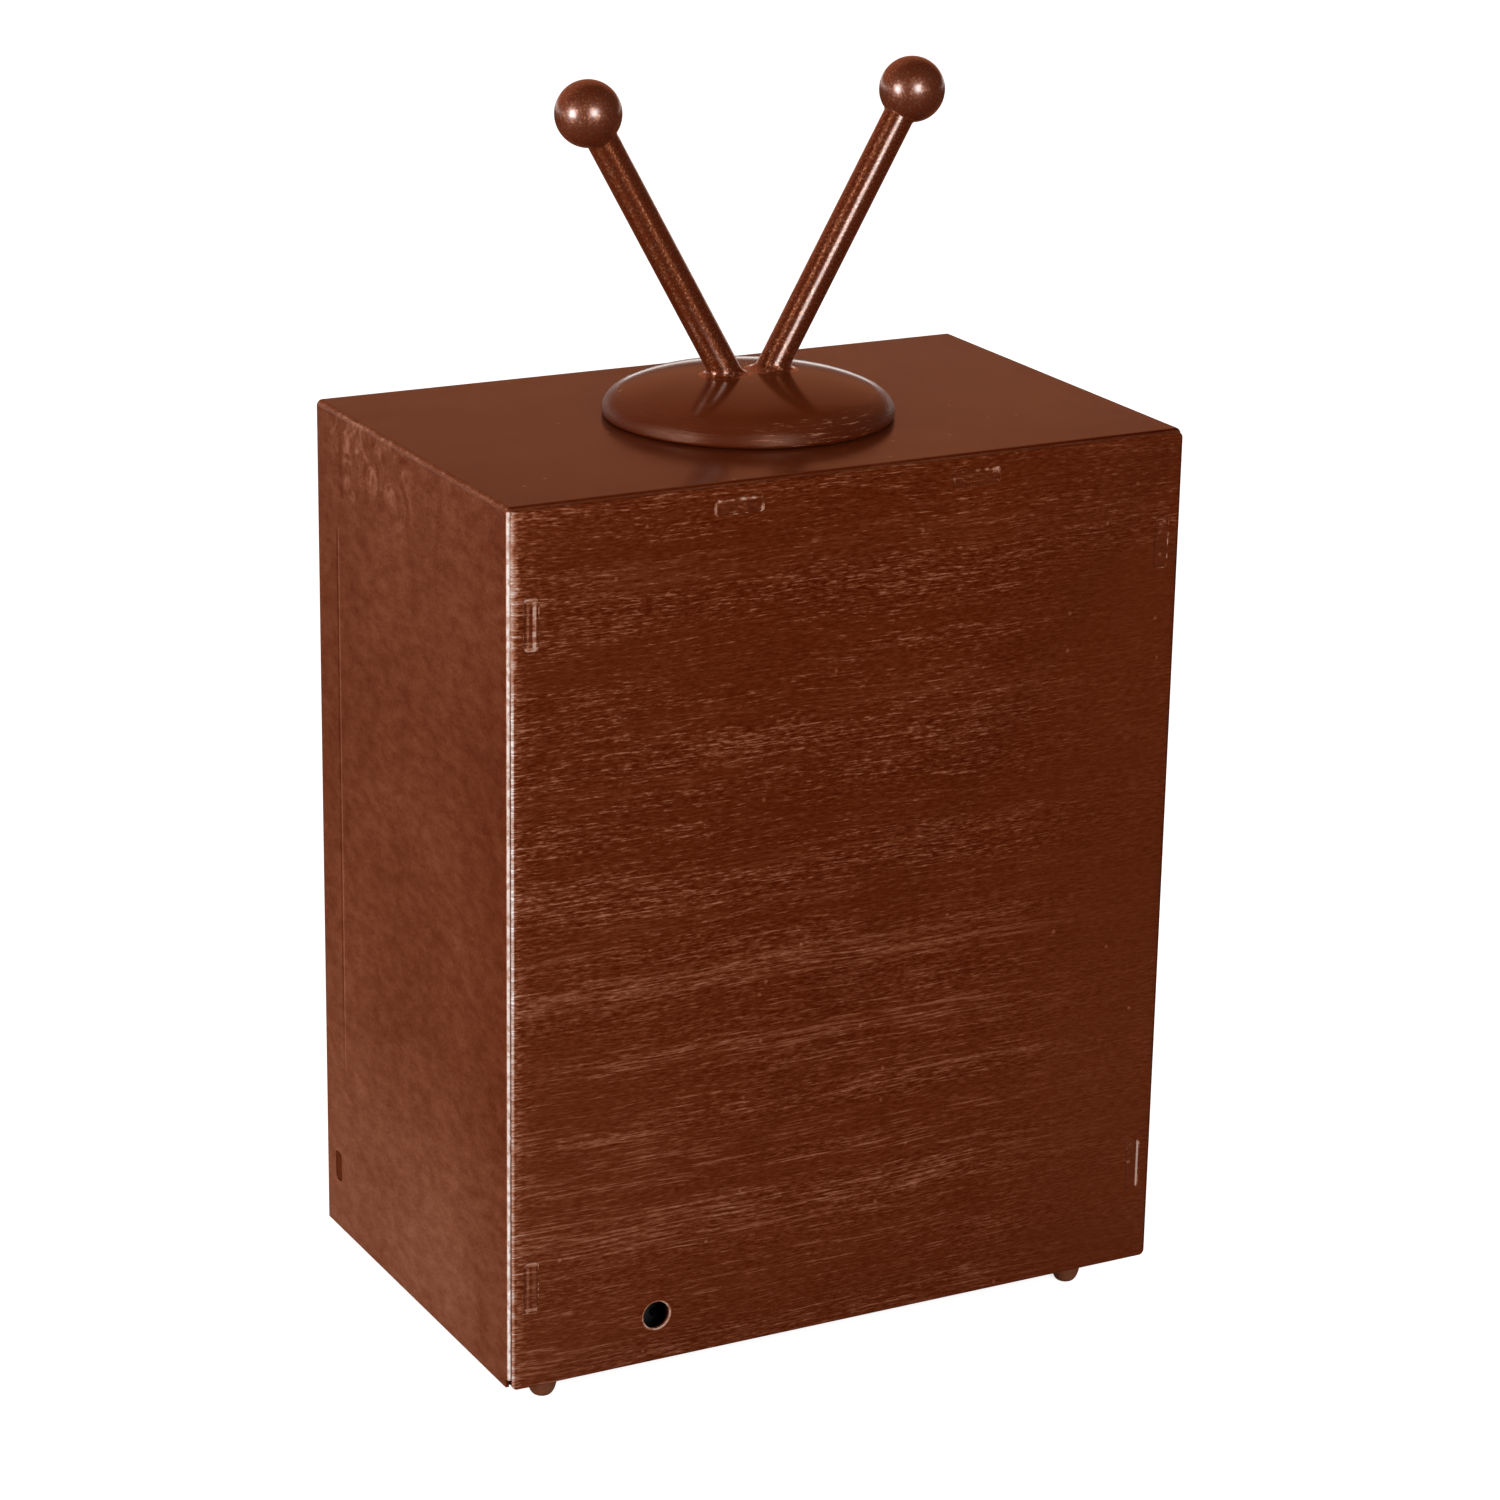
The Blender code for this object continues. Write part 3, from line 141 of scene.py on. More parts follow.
# %% Make an object of a mesh
def add_piece(name, built, material=None, body="cabinet", replaces=(), place=None, smooth=35):
    """Links a mesh as an object of the lamp and hides the CAD nodes that it stands for."""
    bmesh.ops.remove_doubles(built, verts=built.verts, dist=1e-6)
    bmesh.ops.dissolve_degenerate(built, edges=built.edges, dist=1e-6)
    bmesh.ops.recalc_face_normals(built, faces=built.faces)
    mesh = bpy.data.meshes.new(name)
    built.to_mesh(mesh)
    built.free()
    mesh.shade_smooth()
    mesh.set_sharp_from_angle(angle=math.radians(smooth))
    piece = bpy.data.objects.new(name, mesh)
    bpy.context.scene.collection.objects.link(piece)
    if place:
        piece.matrix_world = place
    if material:
        mesh.materials.append(material)
    if body:
        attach(piece, body)
    if replaces:
        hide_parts(*replaces)
    return piece


# %% [markdown]
# Cutting
#
# The slots and holes in the sheet were punched. A loft could leave them open, but each hole would
# need a face layout of its own. A boolean cut is simpler, and it gives the new walls the material
# of the cutter. That is how the rubbed rims get their own paint.

# %% Cut and merge meshes
def cut(piece, cutters, material=None, operation="DIFFERENCE"):
    """Cuts closed meshes from a piece, or joins them to it. The new walls take the material."""
    helper = add_piece(piece.name + "_cutter", cutters, material, body=None)
    modifier = piece.modifiers.new("Cut", "BOOLEAN")
    modifier.solver = "EXACT"
    modifier.operation = operation
    modifier.object = helper
    modifier.material_mode = "TRANSFER"
    bpy.context.view_layer.objects.active = piece
    with bpy.context.temp_override(object=piece, active_object=piece):
        bpy.ops.object.modifier_apply(modifier="Cut")
    bpy.data.objects.remove(helper)
    piece.data.shade_smooth()
    piece.data.set_sharp_from_angle(angle=math.radians(35))


def merge(meshes):
    """One bmesh that holds several."""
    whole = bmesh.new()
    for built in meshes:
        held = bpy.data.meshes.new("held")
        built.to_mesh(held)
        built.free()
        whole.from_mesh(held)
        bpy.data.meshes.remove(held)
    return whole


print("meshes before the first piece:", len(bpy.data.meshes))

# %% [markdown]
# Small tools for building materials
#
# Each finish of the lamp becomes a small tree of nodes. A tree can be drawn by hand in the shader
# editor, but a script has to write it down. The first helper adds one node, sets its options and
# fills its inputs with numbers or links. The next two calculate, because wear and dust are mostly
# sums and products of a few masks.

# %% Nodes and calculations
def put(tree, kind, inputs=None, **options):
    """Adds a node. An input that is given a socket is linked to it."""
    node = tree.nodes.new(kind)
    for key, value in options.items():
        setattr(node, key, value)
    for key, value in (inputs or {}).items():
        if isinstance(value, bpy.types.NodeSocket):
            tree.links.new(value, node.inputs[key])
        else:
            node.inputs[key].default_value = value
    return node


def math_node(tree, operation, first, second=0.0, third=None):
    """One calculation with up to three values."""
    values = {0: first, 1: second}
    if third is not None:
        values[2] = third
    return put(tree, "ShaderNodeMath", values, operation=operation).outputs[0]


def blend(tree, first, share, second):
    """Two values, the first by its share and the second by the rest."""
    return math_node(tree, "MULTIPLY_ADD", first, share, math_node(tree, "MULTIPLY", second, 1 - share))


print("node helpers:", put.__name__, math_node.__name__, blend.__name__)

# %% [markdown]
# Masks, noise and colours
#
# Paint changes from place to place, softly in one spot and sharply in another. A texture image could
# hold such changes, but it has one size only. Noise is worked out from the position, so it stays
# sharp from close by. A ramp then picks which part of it shows, and a mix turns it into a colour.

# %% Masks, noise and colours
def ramp(tree, value, low, high, to_low=0.0, to_high=1.0):
    """Turns a value between low and high into one between the other two, and holds it outside."""
    inputs = {"Value": value, "From Min": low, "From Max": high, "To Min": to_low, "To Max": to_high}
    return put(tree, "ShaderNodeMapRange", inputs, interpolation_type="SMOOTHSTEP").outputs["Result"]


def scaled(tree, vector, factors):
    """A position that is multiplied along each axis by a factor of its own."""
    return put(tree, "ShaderNodeVectorMath", {0: vector, 1: factors}, operation="MULTIPLY").outputs[0]


def noise(tree, vector, scale, detail=3.0, roughness=0.55):
    """Soft noise around one half."""
    inputs = {"Vector": vector, "Scale": scale, "Detail": detail, "Roughness": roughness}
    return put(tree, "ShaderNodeTexNoise", inputs).outputs["Fac"]


def mix_colour(tree, share, first, second):
    """Goes from the first colour to the second as the share grows."""
    node = put(tree, "ShaderNodeMix", {"Factor": share}, data_type="RGBA")
    for socket, value in ((node.inputs[6], first), (node.inputs[7], second)):
        if isinstance(value, bpy.types.NodeSocket):
            tree.links.new(value, socket)
        else:
            socket.default_value = (*value, 1.0)
    return node.outputs[2]


print("mask helpers:", ramp.__name__, scaled.__name__, noise.__name__, mix_colour.__name__)

# %% [markdown]
# Node groups
#
# The same brush, clouds and rubbed folds are on many pieces of the lamp. Their nodes could be
# copied into each material, but a change would then have to be made in all of them. A group is
# built once, with named inputs and outputs, and each material places it with its own values.

# %% Groups
def new_group(name, takes, gives):
    """An empty node group with inputs and outputs, given as name: kind."""
    group = bpy.data.node_groups.new(name, "ShaderNodeTree")
    for label, kind in takes.items():
        group.interface.new_socket(name=label, in_out="INPUT", socket_type="NodeSocket" + kind)
    for label, kind in gives.items():
        group.interface.new_socket(name=label, in_out="OUTPUT", socket_type="NodeSocket" + kind)
    return group, group.nodes.new("NodeGroupInput").outputs, group.nodes.new("NodeGroupOutput").inputs


def give(group, result, **values):
    """Links values to the outputs of a group."""
    for label, value in values.items():
        group.links.new(value, result[label])
    print("group made:", group.name, "with", len(group.nodes), "nodes")


def use_group(tree, group, inputs):
    """Places a group in a material."""
    return put(tree, "ShaderNodeGroup", inputs, node_tree=group).outputs


print("groups so far:", len(bpy.data.node_groups))

# %% [markdown]
# One row of browns
#
# Every dark shade of this paint keeps the same distance between its red, green and blue, and worn
# paint fades towards grey. Each effect could mix a colour of its own, but such mixes soon leave that
# row. So one number, the level of the green from 0 to 240, names a shade. A colour ramp in a group
# turns the number into the colour, and all other effects only raise or lower the number.

# %% Group: brown of a level
LEVELS, RED_ABOVE, BLUE_BELOW = 240.0, 52, 22
FADE, FADE_FROM, FADE_OVER, LEAST_COLOUR = 0.8, 90, 105, 0.12


def to_linear(value):
    """A channel from 0 to 255 as the linear value that a shader needs."""
    share = max(value, 0.0) / 255
    return share / 12.92 if share < 0.04045 else ((share + 0.055) / 1.055) ** 2.4


def brown(level):
    """The paint's colour at a level. Worn shades come nearer to grey."""
    fade = max(1 - FADE * max(level - FADE_FROM, 0) / FADE_OVER, LEAST_COLOUR)
    return tuple(to_linear(v) for v in (level + RED_ABOVE * fade, level, level - BLUE_BELOW * fade))


brown_group, given, result = new_group("brown_of_level", {"Level": "Float"}, {"Color": "Color"})
share = math_node(brown_group, "DIVIDE", given["Level"], LEVELS)
row = put(brown_group, "ShaderNodeValToRGB", {"Fac": share})
stops = [4, 14, 24, 36, 50, 68, 90, 120, 165, 225]
while len(row.color_ramp.elements) < len(stops):
    row.color_ramp.elements.new(0.5)
for stop, level in zip(row.color_ramp.elements, stops):
    stop.position = level / LEVELS
    stop.color = (*brown(level), 1.0)
give(brown_group, result, Color=row.outputs["Color"])

# %% [markdown]
# Dry brush
#
# A nearly dry brush leaves paint only on the high spots, in short thin dashes. The dashes could be
# drawn one by one, but there are thousands. Noise that is stretched along the stroke and squeezed
# across it looks the same from every distance. A shorter noise breaks its lines into dashes, a
# larger one bends them a little, and the largest decides where the brush still held paint.

# %% Group: dry brush
BEND = 6 * MM
brush_group, given, result = new_group(
    "dry_brush",
    {"Vector": "Vector", **dict.fromkeys(("Along", "Across", "Cover", "Edge", "Patchy"), "Float")},
    dict.fromkeys(("Mask", "Grain", "Held"), "Float"),
)
bend = math_node(brush_group, "SUBTRACT", noise(brush_group, given["Vector"], 11.0, 2.0), 0.5)
parts = put(brush_group, "ShaderNodeSeparateXYZ", {0: given["Vector"]}).outputs
height = math_node(brush_group, "ADD", parts["Z"], math_node(brush_group, "MULTIPLY", bend, BEND))
drawn = {}
for axis, value, factor in (("X", parts["X"], "Along"), ("Y", parts["Y"], "Along"), ("Z", height, "Across")):
    drawn[axis] = math_node(brush_group, "MULTIPLY", value, given[factor])
stroke = put(brush_group, "ShaderNodeCombineXYZ", drawn).outputs[0]
lines = noise(brush_group, stroke, 1.0, 3.0, 0.6)
breaks = noise(brush_group, scaled(brush_group, stroke, (3.2, 3.2, 0.8)), 1.0, 3.0, 0.6)
fine = blend(brush_group, breaks, 0.5, lines)
held = noise(brush_group, scaled(brush_group, stroke, (0.07, 0.07, 0.035)), 1.0, 3.0, 0.6)
spent = ramp(brush_group, held, 0.32, 0.68, 1.0, -1.0)
low = math_node(brush_group, "MULTIPLY_ADD", spent, given["Patchy"], given["Cover"])
dashes = ramp(brush_group, fine, low, math_node(brush_group, "ADD", low, given["Edge"]))
hairs = noise(brush_group, scaled(brush_group, stroke, (3.5, 3.5, 0.9)), 1.0, 2.0, 0.7)
grain = blend(brush_group, hairs, 0.6, fine)
give(brush_group, result, Mask=dashes, Grain=grain, Held=ramp(brush_group, held, 0.36, 0.62))

# %% [markdown]
# Cloudy paint
#
# No coat of paint is one even tone, and dust settles in it while it dries. A painted image could
# show that, but it would have to be unwrapped onto each piece. Noise needs no unwrapping. Two sizes
# of it give slow changes and smaller clouds inside them, and the cells of a third pattern leave a
# few pale specks.

# %% Group: clouds and specks
cloud_group, given, result = new_group(
    "clouds", {"Vector": "Vector", "Scale": "Float"}, {"Tone": "Float", "Specks": "Float"}
)
broad = noise(cloud_group, given["Vector"], given["Scale"], 3.0)
close = noise(cloud_group, given["Vector"], math_node(cloud_group, "MULTIPLY", given["Scale"], 6.0), 4.0)
cell_size = {"Vector": given["Vector"], "Scale": 90.0, "Randomness": 1.0}
cells = put(cloud_group, "ShaderNodeTexVoronoi", cell_size).outputs
chance = put(cloud_group, "ShaderNodeSeparateColor", {0: cells["Color"]}).outputs[0]
spots = ramp(cloud_group, cells["Distance"], 0.04, 0.085, 1.0, 0.0)
specks = math_node(cloud_group, "MULTIPLY", spots, ramp(cloud_group, chance, 0.45, 0.50))
give(cloud_group, result, Tone=blend(cloud_group, close, 0.4, broad), Specks=specks)

# %% [markdown]
# Rubbed folds
#
# Paint wears first where hands and cloths catch it, along the folds of the sheet. A mask could be
# painted on each edge by hand. Here a group adds up how far a point lies past the start of the bend
# in both directions. The sum is highest on the ridge, so one threshold lights only a narrow line,
# and it follows the fold even if the cabinet's size changes.

# %% Group: ridge of a fold
RIDGE_START, RIDGE_FULL = 2.5 * MM, 2.8 * MM
FOLD_INPUTS = ("First", "First start", "Second", "Second start")
fold_group, given, result = new_group("fold_ridge", dict.fromkeys(FOLD_INPUTS, "Float"), {"Mask": "Float"})
past = [math_node(fold_group, "SUBTRACT", given[n], given[n + " start"]) for n in ("First", "Second")]
total = math_node(fold_group, "ADD", *past)
give(fold_group, result, Mask=ramp(fold_group, total, RIDGE_START, RIDGE_FULL))

# %% [markdown]
# The brown paint
#
# One tin of paint covers the whole lamp, but it was brushed, dipped and rubbed differently on each
# piece. The starting level of each panel is also painted light and shade: it is set for how brightly
# that panel is lit, so the back, the sides and the top are lit and shaded copies of one paint. Every
# material could be built on its own. Here one recipe makes all of them: a level is clouded, grained,
# dashed and dusted, each panel may still change it, and only then is the colour looked up. The
# reflections are tinted warm, because the paint holds a little bronze powder.

# %% A material and its shader
def new_material(name):
    """A material with its node tree and its shader."""
    material = bpy.data.materials.new(name)
    material.use_nodes = True
    return material, material.node_tree, material.node_tree.nodes["Principled BSDF"]


def set_inputs(tree, shader, **values):
    """Fills a shader's sockets by name, with _ for a space."""
    for key, value in values.items():
        socket = shader.inputs[key.replace("_", " ")]
        if isinstance(value, bpy.types.NodeSocket):
            tree.links.new(value, socket)
        elif isinstance(value, tuple) and len(value) == 3 and len(socket.default_value) == 4:
            socket.default_value = (*value, 1.0)
        else:
            socket.default_value = value


print("materials before the first paint:", len(bpy.data.materials))

# %% [markdown]
# Places on a surface
#
# Wear sits in places: at an edge, in a band, around a hole. It could be painted on by hand, but the
# places are known from the sizes of the lamp. So a surface keeps its position nodes, and its short
# methods name what is done with them: how near a value is to a place, or where a stripe lies.

# %% Places on a surface
class Surface:
    """A new material with its position, and the calculations that wear is made of."""

    def __init__(self, name):
        self.material, self.tree, self.shader = new_material(name)
        self.where = put(self.tree, "ShaderNodeTexCoord").outputs["Object"]
        self.axes = put(self.tree, "ShaderNodeSeparateXYZ", {0: self.where}).outputs

    def near(self, value, low, high, to_low=0.0, to_high=1.0):
        """A soft step from one number to another as the value goes from low to high."""
        return ramp(self.tree, value, low, high, to_low, to_high)

    def times(self, first, second):
        """One mask inside another."""
        return math_node(self.tree, "MULTIPLY", first, second)

    def less(self, first, second):
        """The distance from the second value to the first."""
        return math_node(self.tree, "SUBTRACT", first, second)

    def most(self, first, second):
        """The stronger of two masks."""
        return math_node(self.tree, "MAXIMUM", first, second)

    def size(self, value):
        """A distance without its sign."""
        return math_node(self.tree, "ABSOLUTE", value)

    def stripe(self, value, start, full, fade, end, height=1.0):
        """A band across a value, which rises from start to full and falls from fade to end."""
        return self.times(self.near(value, start, full), self.near(value, fade, end, height, 0.0))

    def blotches(self):
        """Uneven spots of a few millimetres, for wear that comes and goes."""
        return noise(self.tree, self.where, 420.0, 4.0)


print("ways to find a place:", [name for name in vars(Surface) if not name.startswith("_")])

# %% [markdown]
# The recipe
#
# A coat of paint has to stay open until its last mark is on. A function would need a long list of
# options for that. A small class keeps the tree and the level together instead, so that each panel
# can add its own marks before the paint is finished.

# %% Paint recipe
class Paint(Surface):
    """A painted surface whose level can still be changed before it is finished."""

    def __init__(self, name, level, cloud=4.0, grain=4.0, dash=0.0, speck=30.0,
                 along=100.0, across=1500.0, cover=0.56):
        super().__init__(name)
        self.brush = self.strokes(along, across, cover, 0.12, 0.034)
        self.clouds = use_group(self.tree, cloud_group, {"Vector": self.where, "Scale": 14.0})
        self.level = level
        self.add(self.near(self.clouds["Tone"], 0.25, 0.75, -cloud, cloud))
        self.add(self.near(self.brush["Grain"], 0.34, 0.66, -grain, grain))
        self.add(self.clouds["Specks"], speck)
        self.dashes = self.times(self.brush["Mask"], dash)

    def strokes(self, along, across, cover, edge, patchy):
        """Brush strokes with their length, width, cover, softness and patchiness."""
        inputs = {"Along": along, "Across": across, "Cover": cover, "Edge": edge, "Patchy": patchy}
        return use_group(self.tree, brush_group, {"Vector": self.where, **inputs})

    def add(self, value, share=1.0):
        """Raises the level by a share of a value, which may itself come from nodes."""
        self.level = math_node(self.tree, "MULTIPLY_ADD", value, share, self.level)

    def finish(self, rough=0.3, ior=1.45, relief=0.12, relief_from=None, depth=0.4 * MM,
               tint=(1.0, 0.6, 0.42), dull=None):
        """Looks up the colour, fills the shader and returns the material."""
        self.add(self.dashes)
        colour = use_group(self.tree, brown_group, {"Level": self.level})["Color"]
        roughness = self.near(self.clouds["Tone"], 0.2, 0.8, rough + 0.05, rough - 0.04)
        if dull:
            roughness = math_node(self.tree, "ADD", roughness, dull)
        bump = {"Height": relief_from or self.brush["Grain"], "Strength": relief, "Distance": depth}
        normal = put(self.tree, "ShaderNodeBump", bump).outputs["Normal"]
        set_inputs(self.tree, self.shader, Base_Color=colour, Roughness=roughness, Normal=normal)
        set_inputs(self.tree, self.shader, Specular_Tint=tint, IOR=ior)
        print(self.material.name, "has", len(self.tree.nodes), "nodes")
        return self.material


print("ways to change a paint:", [name for name in vars(Paint) if not name.startswith("_")])

# %% [markdown]
# Back
#
# The back shows the brush most. Its dashes are short above and long below, and they thin out
# towards the far edge. Two separate textures could be mixed with a painted mask. Two uses of the
# brush group, weighed by height and by distance from the edge, do the same with a few numbers. The
# coat is a function, because the lugs in the panel's slots were painted with it in one go.

# %% Coat of the back
def back_coat(name):
    """The brushed coat of the back panel and its lugs."""
    # Painted light and shade: the starting level of 27 is set for how the back is lit.
    coat = Paint(name, 27.0, cloud=2.5, grain=3.0, dash=42.0, along=85.0, across=1800.0, cover=0.53)
    x, z = coat.axes["X"], coat.axes["Z"]
    long = coat.strokes(30.0, 1700.0, 0.505, 0.13, 0.055)
    held = coat.most(coat.near(x, -0.102, -0.04, 0.14, 1.0), coat.near(z, 0.262, 0.278, 0.0, 0.85))
    below = coat.near(z, 0.11, 0.20, 1.0, 0.0)
    coat.dashes = coat.times(coat.times(coat.dashes, held), coat.near(below, 0.0, 1.0, 1.0, 0.45))
    coat.add(coat.times(coat.times(long["Mask"], held), coat.near(below, 0.0, 1.0, 12.0, 34.0)))
    patches = coat.near(coat.brush["Held"], 0.0, 1.0, 0.5, 1.0)
    lively = coat.times(coat.near(held, 0.14, 1.0, 0.5, 1.0), patches)
    coat.add(coat.times(coat.near(coat.brush["Grain"], 0.36, 0.64, -14.0, 12.0), lively))
    # The back is a little lighter towards both side edges and towards the bottom, most at the near lower
    # corner.
    coat.add(coat.near(x, 0.02, 0.12, 0.0, 4.0))
    coat.add(coat.near(x, -0.11, -0.05, 3.5, 0.0))
    coat.add(coat.near(z, 0.04, 0.20, 5.0, 0.0))
    coat.add(coat.times(coat.near(x, 0.04, 0.12), coat.near(z, 0.06, 0.20, 4.0, 0.0)))
    return coat


coat = back_coat("back_paint")
print("nodes in the coat of the back:", len(coat.tree.nodes))

# %% [markdown]
# Rubbed edge of the back, with its painted highlight
#
# Along the near edge the paint is rubbed to a pale line, which is also a painted highlight of the
# rounded edge. It is crisp below and ragged above, and the brush dragged some of its paleness
# inwards. The line could be a separate strip of mesh. As a change of level it stays part of the
# paint, and noise can break it up.

# %% Rubbed edge of the back, with its painted highlight
CRISP_TO_RAGGED = (0.235, 0.262)
EDGE = HALF_WIDTH - 0.8 * MM
x, z = coat.axes["X"], coat.axes["Z"]
blotch = coat.blotches()
worn = coat.times(coat.near(blotch, 0.35, 0.6, 0.75, 1.0), coat.near(z, 0.08, 0.16, 0.5, 1.0))
# The pale core line is worn paint and a painted highlight of the edge's round.
core = coat.times(coat.near(x, EDGE - 1.0 * MM, EDGE - 0.5 * MM), worn)
coat.add(coat.times(core, coat.near(z, *CRISP_TO_RAGGED, 1.0, 0.2)), 122.0)
strokes = coat.near(coat.brush["Grain"], 0.44, 0.62)
close = coat.times(coat.near(x, EDGE - 4.5 * MM, EDGE - 0.8 * MM), strokes)
coat.add(coat.times(close, coat.near(z, *CRISP_TO_RAGGED, 34.0, 20.0)))
coat.add(coat.times(coat.near(x, EDGE - 11 * MM, EDGE - 2 * MM), strokes), 12.0)
rubbed = coat.stripe(z, 0.262, 0.276, 0.29, 0.297)
ragged = x
for cause, reach in ((blotch, 3.5 * MM), (coat.brush["Grain"], 2.2 * MM), (rubbed, 0.9 * MM)):
    ragged = math_node(coat.tree, "MULTIPLY_ADD", cause, reach, ragged)
band = coat.times(coat.near(ragged, EDGE + 0.7 * MM, EDGE + 2.7 * MM), coat.near(z, *CRISP_TO_RAGGED))
coat.add(coat.times(band, coat.near(blotch, 0.3, 0.7, 0.7, 1.0)), 60.0)
print("rubbed edge in mm from the middle:", round(EDGE * 1000, 1))

# %% [markdown]
# Seam and ring of the back
#
# The seam beside the panel is darkened as painted shade, and a ring around the cord's hole is rubbed
# bare. Both could come from light alone, but the seam is too narrow for that at this size of picture.
# So the paint is darkened by depth as painted shade, and lightened by distance from the hole.

# %% Seam and ring of the back
HOLE = Vector((HALF_WIDTH - 53.6 * MM, BACK, BOTTOM + 16.5 * MM))
HOLE_RADIUS = 4.8 * MM
# Painted shade: the panel's edge faces in the seam are darkened, crisp below and fading above.
deep = coat.near(coat.axes["Y"], BACK - 0.75 * MM, BACK - 0.45 * MM, 1.0, 0.0)
coat.add(coat.times(deep, coat.near(z, *CRISP_TO_RAGGED, 1.0, 0.08)), -150.0)
# The panel is also a little darker along its far edge.
coat.add(coat.near(x, 2.2 * MM - HALF_WIDTH, 1.0 * MM - HALF_WIDTH), -14.0)
ends = {0: coat.where, 1: HOLE}
apart = put(coat.tree, "ShaderNodeVectorMath", ends, operation="DISTANCE").outputs["Value"]
ring = coat.near(apart, HOLE_RADIUS + 0.45 * MM, HOLE_RADIUS + 0.75 * MM, 1.0, 0.0)
coat.add(coat.times(ring, coat.near(blotch, 0.36, 0.56, 0.4, 1.0)), 85.0)
back_paint = coat.finish(rough=0.30, relief=0.15, ior=1.28, tint=(1.0, 0.45, 0.25))

# %% [markdown]
# Folds of the cabinet
#
# The upright fold next to the back is worn to a pale line, and the fold between side and top only
# in places, and both lines are also painted highlights of the rounded folds. Edge wear can be found
# from the mesh's curvature, but that wears every fold alike. The fold group is placed once for each
# fold instead, with its own amount. The seam beside the back and the whole far side are darkened as
# painted shade.

# %% Folds of the cabinet: wear, painted highlights and painted shade
def fold_wear_highlight_and_shade(coat, upright, side_top):
    """Lightens the cabinet's near folds, each by its own amount, as worn paint and painted highlight, and
    darkens the seam and the far side as painted shade.
    """
    x, y, z = coat.axes["X"], coat.axes["Y"], coat.axes["Z"]
    blotch = coat.blotches()
    to_side, to_back, to_top = (x, HALF_WIDTH - FOLD), (y, FLANGE_FACE - FOLD), (z, TOP - FOLD)
    worn, touched = coat.near(blotch, 0.34, 0.58, 0.65, 1.0), coat.near(blotch, 0.46, 0.66, 0.2, 1.0)
    # The pale fold lines are worn paint and painted highlights of the rounds.
    for other, amount, patches in ((to_back, upright, worn), (to_top, side_top, touched)):
        ridge = use_group(coat.tree, fold_group, dict(zip(FOLD_INPUTS, to_side + other)))["Mask"]
        coat.add(coat.times(ridge, patches), amount)
    # Painted shade: the seam past the fold's turn is darkened, crisp below and fading above.
    past_turn = coat.near(y, FLANGE_FACE - 0.75 * MM, FLANGE_FACE - 0.5 * MM)
    seam = coat.times(past_turn, coat.near(x, HALF_WIDTH - 1.1 * MM, HALF_WIDTH - 0.8 * MM, 1.0, 0.0))
    coat.add(coat.times(seam, coat.near(z, *CRISP_TO_RAGGED, 1.0, 0.05)), -60.0)
    # Painted shade: the far side and its fold are darker.
    coat.add(coat.near(x, 0.4 * FOLD - HALF_WIDTH, 1.2 * FOLD - HALF_WIDTH, -28.0, 0.0))


print("fold radius in mm:", round(FOLD * 1000, 1))

# %% [markdown]
# Sides
#
# The sides are smooth and a little mottled, with curled smears below the top and a faint upright
# line where the front panel stands behind the sheet. The smears could be a photograph of paint, but
# a noise that is distorted by itself curls in the same way and needs no picture.

# %% Paint of the sides
# Painted light and shade: the starting level of 46 is set for how the side is lit.
coat = Paint("side_paint", 46.0, cloud=8.0, grain=2.0, speck=95.0, along=900.0, across=900.0)
y, z = coat.axes["Y"], coat.axes["Z"]
# The side is lighter towards the bottom and a little towards the top, and darker towards the rear.
coat.add(coat.near(z, 0.02, 0.14, 21.0, 0.0))
coat.add(coat.near(y, 0.03, 0.075, 0.0, -8.0))
coat.add(coat.near(z, 0.20, 0.29, 0.0, 6.0))
mottle = noise(coat.tree, scaled(coat.tree, coat.where, (120.0, 120.0, 260.0)), 1.0, 5.0, 0.65)
coat.add(coat.near(mottle, 0.3, 0.7, -8.0, 8.0))
coat.add(coat.near(noise(coat.tree, coat.where, 1100.0, 2.0), 0.3, 0.7, -7.0, 7.0))

curled = {"Scale": 1.0, "Detail": 5.0, "Roughness": 0.7, "Distortion": 2.4}
curled["Vector"] = scaled(coat.tree, coat.where, (1.0, 62.0, 55.0))
smear = put(coat.tree, "ShaderNodeTexNoise", curled).outputs["Fac"]
corner = coat.times(coat.near(y, -0.072, -0.056), coat.near(y, -0.03, 0.02, 1.0, 0.2))
corner = coat.times(corner, coat.near(z, 0.262, 0.296))
coat.add(coat.times(coat.near(smear, 0.50, 0.66), corner), 34.0)
coat.add(coat.times(coat.near(smear, 0.34, 0.46, 1.0, 0.0), corner), -16.0)

line = coat.less(y, FRONT + 17.6 * MM)
reach = coat.stripe(z, 0.05, 0.104, 0.262, 0.27)
coat.add(coat.times(coat.stripe(line, -0.5 * MM, 0.0, 0.0, 0.9 * MM), reach), 34.0)
coat.add(coat.times(coat.stripe(line, -2.2 * MM, -1.3 * MM, -0.9 * MM, -0.3 * MM), reach), -20.0)
fold_wear_highlight_and_shade(coat, 152.0, 48.0)
side_paint = coat.finish(rough=0.32, relief=0.06, relief_from=mottle)

# %% [markdown]
# Top
#
# The top is the glossiest panel, with very soft level bands, and it mirrors the dome. It could share
# the paint of the sides, since it is the same sheet. It has its own, because its gloss differs and
# gloss is what makes it read as a level face, and because its starting level is painted light and
# shade for how the top is lit. Along the rear fold it is darkened as painted shade of the gap beside
# the back.

